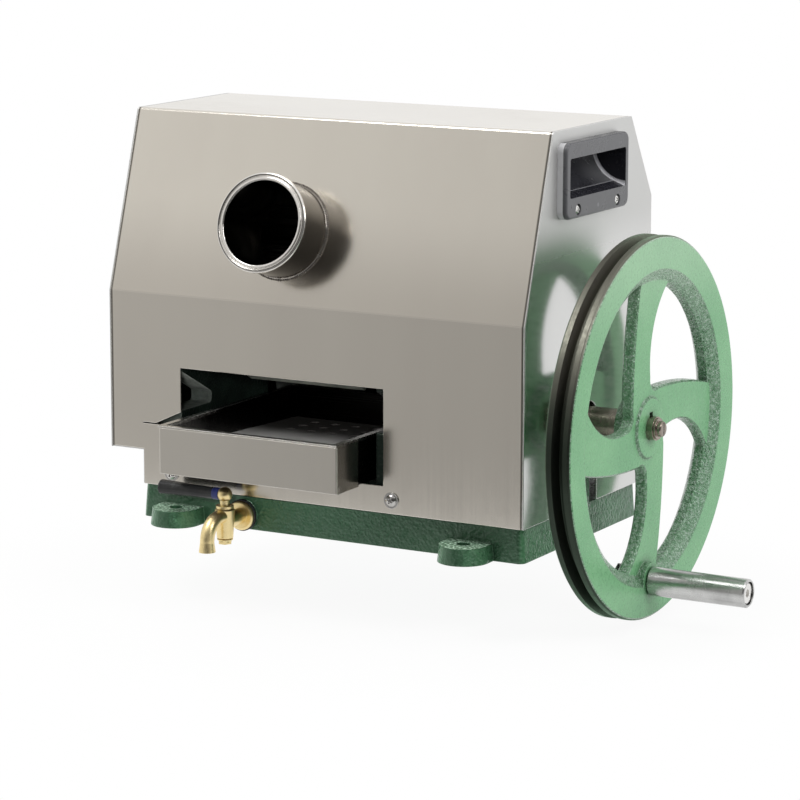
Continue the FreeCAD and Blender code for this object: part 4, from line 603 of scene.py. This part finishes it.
def make_handle_plastic():
    """Grey plastic with painted shade and highlights in its cup, a moulding mark below it, and a pale
    band at the sheet painted as a highlight.
    """
    finish, tree, shader, place, colour, gloss = moulded(
        "handle_grey_plastic", (0.125, 0.126, 0.134, 1), (0.102, 0.103, 0.110, 1),
        rough=0.34, texture=1500.0, depth=0.12 * MM)
    at = xyz(tree, place)
    out = minus(tree, absolute(tree, minus(tree, at["X"], hood_middle_x)), hood_edge_x)
    inside, lit, lit_scoop = cup_masks(tree, at, out)
    # painted shade in the cup, lighter towards its scooped end as painted light
    cup_shade_tone = blend_colours(tree, lit_scoop, (0.018, 0.018, 0.025, 1), (0.15, 0.152, 0.16, 1))
    colour = blend_colours(tree, times(tree, inside, 0.95), colour, cup_shade_tone)
    # painted highlight on the cup's edges
    colour = blend_colours(tree, lit, colour, (0.80, 0.80, 0.84, 1))
    from_mark = slant(tree, minus(tree, at["Y"], handle_middle_y),
                      minus(tree, at["Z"], handle_screw_z))
    mark = times(tree, spread(tree, from_mark, 1.2 * MM, 1.9 * MM, 0.35, 0.0),
                 is_over(tree, out, handle_front))
    colour = blend_colours(tree, mark, colour, (0.40, 0.40, 0.44, 1))
    # painted highlight: a pale band on the flank beside the sheet
    pale_band = times(tree, spread(tree, out, *handle_pale_band, 0.9, 0.0), minus(tree, 1.0, inside))
    colour = blend_colours(tree, pale_band, colour, (0.78, 0.78, 0.80, 1))
    feed(tree, shader, Base_Color=colour, Roughness=plus(tree, gloss, times(tree, inside, -0.08)))
    return finish


along_z, along_x, every_way = (1.0, 1.0, 0.01), (0.01, 1.0, 1.0), (1.0, 1.0, 1.0)
hood_steel = sheet_steel(
    "hood_rolled_steel", (0.685, 0.650, 0.585, 1), (0.650, 0.612, 0.552, 1),
    along_z, smooth=0.16, dull=0.20, shade=hood_shade)
side_steel = sheet_steel(
    "side_bright_steel", (0.66, 0.66, 0.65, 1), (0.63, 0.63, 0.62, 1),
    along_z, smooth=0.09, dull=0.12, matt=upper_side_matt)
tray_steel = sheet_steel(
    "tray_rolled_steel", (0.635, 0.605, 0.55, 1), (0.60, 0.572, 0.52, 1),
    along_z, smooth=0.14, dull=0.18)
inner_steel = sheet_steel(
    "tray_inner_steel", (0.60, 0.585, 0.55, 1), (0.52, 0.505, 0.475, 1),
    along_x, smooth=0.20, dull=0.30, shade=inner_shade)
strainer_steel = sheet_steel(
    "strainer_steel", (0.84, 0.825, 0.80, 1), (0.76, 0.75, 0.73, 1),
    along_x, smooth=0.42, dull=0.52, metal=0.15, shade=strainer_shade)
tube_steel = sheet_steel(
    "feed_tube_steel", (0.40, 0.37, 0.335, 1), (0.33, 0.305, 0.275, 1),
    (0.05, 0.05, 0.05), smooth=0.13, dull=0.17, shade=bore_shade)
wheel_paint = make_wheel_paint()
base_paint = cast_paint(
    "green_base_enamel", (0.088, 0.215, 0.115, 1), (0.052, 0.145, 0.076, 1), skin_grain=420.0,
    depth=0.8 * MM, rough=0.34, dust_amount=0.25, shine=0.25, front_shade=0.82, painted_glints=1.0)[0]
# the left frame's pale enamel is partly painted light; the right frame and rear bar are near black as
# painted shade
left_throat_worn_and_lit = make_throat_paint(
    "green_throat_enamel_worn_and_lit", (0.54, 0.57, 0.53, 1), (0.26, 0.29, 0.26, 1))
right_throat_shaded = make_throat_paint(
    "green_frame_enamel_painted_shade", (0.016, 0.019, 0.018, 1), (0.008, 0.010, 0.009, 1))
bar_paint = cast_paint(
    "green_bar_enamel", (0.27, 0.275, 0.24, 1), (0.12, 0.125, 0.11, 1), skin_grain=430.0,
    depth=0.9 * MM, rough=0.40, dust_amount=0.05, shine=0.3)[0]
roller_steel = turned_metal(
    "roller_turned_steel", (0.20, 0.19, 0.175, 1), (0.12, 0.115, 0.105, 1),
    (1.0, 0.05, 0.05), smooth=0.25, dull=0.40)
gear_steel = turned_metal(
    "gear_oiled_steel", (0.22, 0.21, 0.19, 1), (0.12, 0.11, 0.10, 1),
    (1.0, 0.1, 0.1), smooth=0.28, dull=0.45)
shaft_steel = turned_metal(
    "shaft_aged_steel", (0.42, 0.37, 0.32, 1), (0.25, 0.21, 0.18, 1),
    (1.0, 0.1, 0.1), smooth=0.18, dull=0.34)
grip_steel = turned_metal(
    "grip_drawn_steel", (0.68, 0.68, 0.67, 1), (0.30, 0.30, 0.295, 1),
    (0.02, 1.0, 1.0), smooth=0.20, dull=0.30, ring_depth=0.35, fine=170.0)
fastener_steel = turned_metal(
    "fastener_zinc_steel", (0.86, 0.85, 0.83, 1), (0.66, 0.65, 0.63, 1),
    every_way, smooth=0.08, dull=0.16, ring_depth=0.02)
screw_steel = turned_metal(
    "hood_screw_steel", (0.62, 0.61, 0.59, 1), (0.34, 0.33, 0.32, 1),
    every_way, smooth=0.06, dull=0.14, ring_depth=0.02)
weld_steel = turned_metal(
    "weld_bead_steel", (0.26, 0.235, 0.21, 1), (0.14, 0.125, 0.11, 1),
    every_way, smooth=0.18, dull=0.32)
bush_bronze = turned_metal(
    "bush_bronze", (0.50, 0.34, 0.16, 1), (0.34, 0.22, 0.10, 1),
    (1.0, 0.1, 0.1), smooth=0.25, dull=0.40)
tap_brass = turned_metal(
    "tap_cast_brass", (0.98, 0.81, 0.44, 1), (0.76, 0.61, 0.31, 1),
    every_way, smooth=0.26, dull=0.42, ring_depth=0.15, fine=700.0)
seal_rubber = moulded(
    "seal_black_rubber", (0.020, 0.020, 0.021, 1), (0.010, 0.010, 0.011, 1),
    rough=0.55, texture=1600.0, depth=0.2 * MM)[0]
handle_plastic = make_handle_plastic()
lever_plastic = moulded(
    "lever_black_plastic", (0.026, 0.027, 0.026, 1), (0.014, 0.014, 0.015, 1),
    rough=0.24, texture=1500.0, depth=0.1 * MM, specular=0.25)[0]
collar_plastic = moulded(
    "collar_navy_plastic", (0.022, 0.030, 0.12, 1), (0.012, 0.016, 0.07, 1),
    rough=0.32, texture=1500.0, depth=0.1 * MM, specular=0.3)[0]

finish_of = {
    base_paint: ("base_casting",),
    left_throat_worn_and_lit: ("left_side_frame",),
    right_throat_shaded: ("right_side_frame", "rear_tie_bar"),
    bar_paint: ("front_tie_bar",),
    wheel_paint: ("handwheel",),
    hood_steel: ("hood_wrap", "bagasse_chute"),
    side_steel: ("hood_side_right", "hood_side_left"),
    tray_steel: ("tray_front_panel",),
    inner_steel: ("juice_tray",),
    strainer_steel: ("strainer_plate",),
    tube_steel: ("feed_tube",),
    roller_steel: ("top_roller", "front_roller", "rear_roller", "turner_plate"),
    gear_steel: ("top_roller_gear", "front_roller_gear", "rear_roller_gear", "bull_gear",
                 "drive_pinion"),
    shaft_steel: ("drive_shaft", "hub_key", "hub_screw"),
    grip_steel: ("crank_grip",),
    fastener_steel: ("crank_pin", "tie_bar_bolts", "frame_bolts", "hood_screws", "handle_screws",
                     "crank_nut", "top_roller_end_screws", "front_roller_end_screws",
                     "rear_roller_end_screws"),
    bush_bronze: ("left_roller_bushes", "right_roller_bushes", "shaft_bushes"),
    tap_brass: ("tap_body", "tap_locknut", "tap_plug", "tap_bottom_nut"),
    seal_rubber: ("tap_gasket",),
    handle_plastic: ("right_carry_handle", "left_carry_handle"),
    lever_plastic: ("tap_lever",),
    collar_plastic: ("tap_lever_collar",),
}
for finish, names in finish_of.items():
    for name in names:
        node[name].data.materials.clear()
        node[name].data.materials.append(finish)
unpainted = set(node) - {name for names in finish_of.values() for name in names}
if unpainted:
    raise ValueError(f"no finish for {sorted(unpainted)}")


# ---------------------------------------------------------------- repeated pieces
def combine(tree, **parts):
    return put(tree, "ShaderNodeCombineXYZ", parts).outputs[0]


def moved(tree, shape, way):
    return put(tree, "GeometryNodeTransform", {"Geometry": shape, "Translation": way}).outputs[0]


def make_screw_group():
    """Pan-head cross-recess screws on the points given, each looking along its facing."""
    tree, given, result = new_group(
        "pan head screws",
        [("Geometry", "Geometry", None), ("Head radius", "Float", 4.0 * MM),
         ("Head height", "Float", 2.4 * MM), ("Washer radius", "Float", 0.0),
         ("Washer height", "Float", 0.9 * MM), ("Recess width", "Float", 1.2 * MM),
         ("Recess depth", "Float", 1.4 * MM), ("Turn seed", "Int", 3),
         ("Finish", "Material", None)],
        [("Geometry", "Geometry")], "GeometryNodeTree")
    blank = put(tree, "GeometryNodeMeshCylinder",
                {"Vertices": 32, "Side Segments": 4, "Fill Segments": 6,
                 "Radius": given["Head radius"], "Depth": given["Head height"]}).outputs["Mesh"]
    spot = xyz(tree, put(tree, "GeometryNodeInputPosition").outputs[0])
    share = calc(tree, "DIVIDE", slant(tree, spot["X"], spot["Y"]), given["Head radius"])
    up = plus(tree, spot["Z"], times(tree, given["Head height"], 0.5))
    dome = minus(tree, 1.0, times(tree, calc(tree, "POWER", share, 2.6), 0.68))
    shaped = combine(tree, X=spot["X"], Y=spot["Y"], Z=times(tree, up, dome))
    domed = put(tree, "GeometryNodeSetPosition", {"Geometry": blank, "Position": shaped}).outputs[0]
    recessed = put(tree, "GeometryNodeMeshBoolean", {"Mesh 1": domed}, operation="DIFFERENCE")
    length = times(tree, given["Head radius"], 1.15)
    deep = times(tree, given["Recess depth"], 2.0)
    top = combine(tree, Z=given["Head height"])
    for wide, thick in ((length, given["Recess width"]), (given["Recess width"], length)):
        arm = put(tree, "GeometryNodeMeshCube",
                  {"Size": combine(tree, X=wide, Y=thick, Z=deep)}).outputs["Mesh"]
        tree.links.new(moved(tree, arm, top), recessed.inputs["Mesh 2"])
    head = moved(tree, recessed.outputs["Mesh"], combine(tree, Z=given["Washer height"]))
    washer = put(tree, "GeometryNodeMeshCylinder",
                 {"Vertices": 32, "Radius": given["Washer radius"],
                  "Depth": given["Washer height"]}).outputs["Mesh"]
    washer = moved(tree, washer, combine(tree, Z=times(tree, given["Washer height"], 0.5)))
    both = put(tree, "GeometryNodeJoinGeometry")
    for part in (head, washer):
        tree.links.new(part, both.inputs[0])
    facing = put(tree, "GeometryNodeInputNamedAttribute", {"Name": "facing"},
                 data_type="FLOAT_VECTOR").outputs["Attribute"]
    upright = put(tree, "FunctionNodeAlignRotationToVector", {"Vector": facing}, axis="Z").outputs[0]
    turn = put(tree, "FunctionNodeRandomValue", {"Seed": given["Turn seed"]}, data_type="FLOAT")
    turn.inputs[2].default_value, turn.inputs[3].default_value = 0.0, 1.5
    spin = put(tree, "FunctionNodeAxisAngleToRotation",
               {"Axis": (0, 0, 1), "Angle": turn.outputs[1]}).outputs[0]
    turned = put(tree, "FunctionNodeRotateRotation", {0: upright, 1: spin},
                 rotation_space="LOCAL").outputs[0]
    many = put(tree, "GeometryNodeInstanceOnPoints",
               {"Points": given["Geometry"], "Instance": both.outputs[0],
                "Rotation": turned}).outputs[0]
    real = put(tree, "GeometryNodeRealizeInstances", {0: many}).outputs[0]
    done = put(tree, "GeometryNodeSetMaterial", {"Geometry": real, "Material": given["Finish"]})
    tree.links.new(done.outputs[0], result["Geometry"])
    return tree


def make_bead_group():
    """Weld ripples side by side along a circle in the XY plane."""
    tree, given, result = new_group(
        "weld ripples",
        [("Geometry", "Geometry", None), ("Circle radius", "Float", 39.0 * MM),
         ("Ripples", "Int", 84), ("Ripple radius", "Float", 1.4 * MM),
         ("Uneven", "Float", 0.25), ("Seed", "Int", 5),
         ("Finish", "Material", None)],
        [("Geometry", "Geometry")], "GeometryNodeTree")
    ring = put(tree, "GeometryNodeCurvePrimitiveCircle",
               {"Resolution": given["Ripples"], "Radius": given["Circle radius"]},
               mode="RADIUS").outputs["Curve"]
    along = put(tree, "GeometryNodeInputTangent").outputs[0]
    turned = put(tree, "FunctionNodeAlignRotationToVector", {"Vector": along}, axis="X").outputs[0]
    size = put(tree, "FunctionNodeRandomValue", {"Seed": given["Seed"]}, data_type="FLOAT")
    tree.links.new(minus(tree, 1.0, given["Uneven"]), size.inputs[2])
    tree.links.new(plus(tree, 1.0, given["Uneven"]), size.inputs[3])
    ball = put(tree, "GeometryNodeMeshUVSphere",
               {"Segments": 10, "Rings": 6, "Radius": given["Ripple radius"]}).outputs["Mesh"]
    flat = put(tree, "GeometryNodeTransform", {"Geometry": ball, "Scale": (0.9, 1.25, 0.75)}).outputs[0]
    many = put(tree, "GeometryNodeInstanceOnPoints",
               {"Points": ring, "Instance": flat, "Rotation": turned,
                "Scale": size.outputs[1]}).outputs[0]
    real = put(tree, "GeometryNodeRealizeInstances", {0: many}).outputs[0]
    smooth = put(tree, "GeometryNodeSetShadeSmooth", {"Geometry": real}).outputs[0]
    done = put(tree, "GeometryNodeSetMaterial", {"Geometry": smooth, "Material": given["Finish"]})
    tree.links.new(done.outputs[0], result["Geometry"])
    return tree


def built(name, group, seats, finish, **sizes):
    """Runs a Geometry Nodes group on seats, each a point and the way that it looks, and keeps
    the result as a plain mesh."""
    values = {label.replace("_", " ").capitalize(): value for label, value in sizes.items()}
    values["Finish"] = finish
    mesh = bpy.data.meshes.new(name + "_points")
    mesh.from_pydata([point for point, _ in seats], [], [])
    facing = mesh.attributes.new("facing", "FLOAT_VECTOR", "POINT")
    for index, (_, way) in enumerate(seats):
        facing.data[index].vector = way
    made = bpy.data.objects.new(name, mesh)
    bpy.context.scene.collection.objects.link(made)
    live = made.modifiers.new(name, "NODES")
    live.node_group = group
    for socket in group.interface.items_tree:
        if socket.in_out == "INPUT" and socket.name in values:
            live[socket.identifier] = values[socket.name]
    seen = made.evaluated_get(bpy.context.evaluated_depsgraph_get())
    plain = bpy.data.meshes.new_from_object(seen)
    made.modifiers.clear()
    made.data = plain
    bpy.data.meshes.remove(mesh)
    return made


screw_group = make_screw_group()
hood_seats = [((x, side * hood_side_y, hood_screw_z), (0.0, side, 0.0))
              for x in hood_screw_x for side in (-1, 1)]
hood_heads = built(
    "hood_screw_heads", screw_group, hood_seats, screw_steel, head_radius=4.6 * MM,
    head_height=2.6 * MM, washer_radius=6.5 * MM, washer_height=0.9 * MM,
    recess_width=1.3 * MM, recess_depth=1.5 * MM, turn_seed=3)
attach(hood_heads, "machine")
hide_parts("hood_screws")

side_seats = [((x, y, handle_screw_z), (out, 0.0, 0.0))
              for x, out in handle_seats for y in handle_screw_y]
handle_heads = built(
    "handle_screw_heads", screw_group, side_seats, fastener_steel, head_radius=4.0 * MM,
    head_height=2.2 * MM, washer_radius=3.9 * MM, washer_height=0.2 * MM,
    recess_width=1.1 * MM, recess_depth=1.2 * MM, turn_seed=8)
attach(handle_heads, "machine")
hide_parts("handle_screws")

tube_weld = built(
    "feed_tube_weld", make_bead_group(), [((0.0, 0.0, 0.0), (0.0, 0.0, 1.0))], weld_steel,
    circle_radius=collar_radius, ripples=150, ripple_radius=0.85 * MM, uneven=0.18, seed=5)
tube_weld.data.transform(Matrix.Translation(tube_base + 0.4 * MM * tube_axis)
                         @ tube_axis.to_track_quat("Z", "Y").to_matrix().to_4x4())
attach(tube_weld, "machine")


# ---------------------------------------------------------------- stage
def make_stage_finish():
    """Pale ground that shows white to the eye and in polished metal, but keeps soft shadows."""
    finish = bpy.data.materials.new("pale_studio_ground")
    finish.use_nodes = True
    tree = finish.node_tree
    tree.nodes.remove(tree.nodes["Principled BSDF"])
    place = put(tree, "ShaderNodeTexCoord").outputs["Object"]
    cloud = use_group(tree, mottle, vector=place, size=3.0, low=0.80, high=0.84)["Value"]
    ground = put(tree, "ShaderNodeBsdfDiffuse",
                 {"Color": put(tree, "ShaderNodeCombineColor",
                               {0: cloud, 1: cloud, 2: cloud}).outputs[0]}).outputs[0]
    white = put(tree, "ShaderNodeEmission", {"Color": (1, 1, 1, 1), "Strength": 1.0}).outputs[0]
    seen = put(tree, "ShaderNodeLightPath").outputs
    share = most(tree, seen["Is Camera Ray"], seen["Is Glossy Ray"], seen["Is Transmission Ray"])
    away = aim(tree, "LENGTH", place)["Value"]
    whiteness = spread(tree, away, *shadow_reach, 0.93, 1.0, True)
    mixed = put(tree, "ShaderNodeMixShader",
                {0: times(tree, share, whiteness), 1: ground, 2: white}).outputs[0]
    tree.links.new(mixed, tree.nodes["Material Output"].inputs["Surface"])
    return finish


def lay_floor():
    """A slab under the machine, ending a little way in front of it."""
    low, high = floor_low, floor_high
    corners = [(x, y, z) for x in (low[0], high[0]) for y in (low[1], high[1])
               for z in (low[2], high[2])]
    faces = [(0, 1, 3, 2), (4, 6, 7, 5), (0, 4, 5, 1), (2, 3, 7, 6), (0, 2, 6, 4), (1, 5, 7, 3)]
    mesh = bpy.data.meshes.new("studio_floor")
    mesh.from_pydata(corners, [], faces)
    mesh.materials.append(make_stage_finish())
    made = bpy.data.objects.new("studio_floor", mesh)
    bpy.context.scene.collection.objects.link(made)


lay_floor()


# ---------------------------------------------------------------- light and camera
# The room that polished sheet mirrors: brightness by height, as a share from straight down to
# straight up, and by side, as a share from the far left to the far right.
room_by_height = ((0.33, 0.42), (0.405, 0.58), (0.55, 0.74), (0.665, 0.93), (0.80, 0.97))
room_by_side = ((0.228, 0.99), (0.251, 0.83), (0.274, 0.75), (0.32, 0.62), (0.42, 0.38))
camera_place = 1.32587, -2.34979, 0.60933
camera_yaw, camera_pitch, camera_roll = (math.radians(turn) for turn in (29.2, 10.77, 0.11))
camera_lens, camera_sensor = 150.47, 36.0


def make_world():
    """A soft studio: white behind the machine, and a dim room in front, lighter to the left."""
    world = bpy.data.worlds.new("soft_studio")
    world.use_nodes = True
    tree = world.node_tree
    tree.nodes.clear()
    way = xyz(tree, put(tree, "ShaderNodeTexCoord").outputs["Generated"])
    upward = put(tree, "ShaderNodeValToRGB", {"Fac": spread(tree, way["Z"], -1.0, 1.0, 0.0, 1.0)})
    ramp = upward.color_ramp
    ramp.elements[0].position, ramp.elements[0].color = 0.0, (0.22, 0.218, 0.21, 1)
    ramp.elements[1].position, ramp.elements[1].color = 1.0, (1.0, 1.0, 1.0, 1)
    for place, tone in room_by_height:
        ramp.elements.new(place).color = (tone, tone * 0.99, tone * 0.97, 1)
    across = put(tree, "ShaderNodeValToRGB", {"Fac": spread(tree, way["X"], -1.0, 1.0, 0.0, 1.0)})
    ramp = across.color_ramp
    ramp.elements[0].position, ramp.elements[0].color = 0.21, (1.0, 1.0, 1.0, 1)
    ramp.elements[1].position, ramp.elements[1].color = 0.60, (0.14, 0.14, 0.14, 1)
    for place, tone in room_by_side:
        ramp.elements.new(place).color = (tone, tone, tone, 1)
    overhead = spread(tree, way["Z"], 0.45, 0.85, 0.0, 1.0, True)
    sideways = blend_colours(tree, overhead, across.outputs["Color"], (1, 1, 1, 1))
    room = blend_colours(tree, 1.0, upward.outputs["Color"], sideways, "MULTIPLY")
    behind = spread(tree, way["Y"], -0.25, 0.25, 0.0, 1.0, True)
    around = blend_colours(tree, behind, room, (1.0, 1.0, 1.0, 1))
    seen = put(tree, "ShaderNodeLightPath").outputs["Is Camera Ray"]
    colour = blend_colours(tree, seen, around, (1, 1, 1, 1))
    sky = put(tree, "ShaderNodeBackground", {"Color": colour, "Strength": 1.0}).outputs[0]
    out = tree.nodes.new("ShaderNodeOutputWorld")
    tree.links.new(sky, out.inputs["Surface"])
    bpy.context.scene.world = world


def hang_lamp(name, lamp, power, at, towards):
    lamp.energy = power
    made = bpy.data.objects.new(name, lamp)
    bpy.context.scene.collection.objects.link(made)
    made.location = at
    made.rotation_euler = (Vector(towards) - Vector(at)).to_track_quat("-Z", "Y").to_euler()
    return made


def soft_box(name, at, towards, size, power):
    lamp = bpy.data.lights.new(name, "AREA")
    lamp.size = size
    hang_lamp(name, lamp, power, at, towards)


def throat_lamp(name, at, towards, cone, power):
    """A narrow soft beam into the throat, kept out of reflections in the sheet."""
    lamp = bpy.data.lights.new(name, "SPOT")
    lamp.spot_size, lamp.spot_blend, lamp.shadow_soft_size = cone, 0.5, 60.0 * MM
    hang_lamp(name, lamp, power, at, towards).visible_glossy = False


def make_camera():
    """The viewpoint: yaw to the left of straight back, pitch downwards, a trace of roll."""
    forward = Vector((-math.sin(camera_yaw) * math.cos(camera_pitch),
                      math.cos(camera_yaw) * math.cos(camera_pitch), -math.sin(camera_pitch)))
    right = Vector((math.cos(camera_yaw), math.sin(camera_yaw), 0.0))
    up = right.cross(forward)
    across = math.cos(camera_roll) * right + math.sin(camera_roll) * up
    upward = -math.sin(camera_roll) * right + math.cos(camera_roll) * up
    data = bpy.data.cameras.new("studio_camera")
    data.sensor_width, data.lens = camera_sensor, camera_lens
    made = bpy.data.objects.new("studio_camera", data)
    bpy.context.scene.collection.objects.link(made)
    made.matrix_world = Matrix.Translation(camera_place) @ Matrix(
        (across, upward, -forward)).transposed().to_4x4()
    bpy.context.scene.camera = made


make_world()
soft_box("key_softbox", at=(-0.7, -1.0, 2.2), towards=(0, 0, 0.1), size=0.9, power=20)
soft_box("right_softbox", at=(1.9, -0.3, 1.5), towards=(0.1, 0, 0.1), size=0.9, power=14)
throat_lamp("throat_beam", at=(0.42, -1.15, 0.40), towards=(-0.055, -0.09, 0.10),
            cone=math.radians(11.0), power=60)
make_camera()
bpy.context.scene.view_settings.view_transform = "Standard"
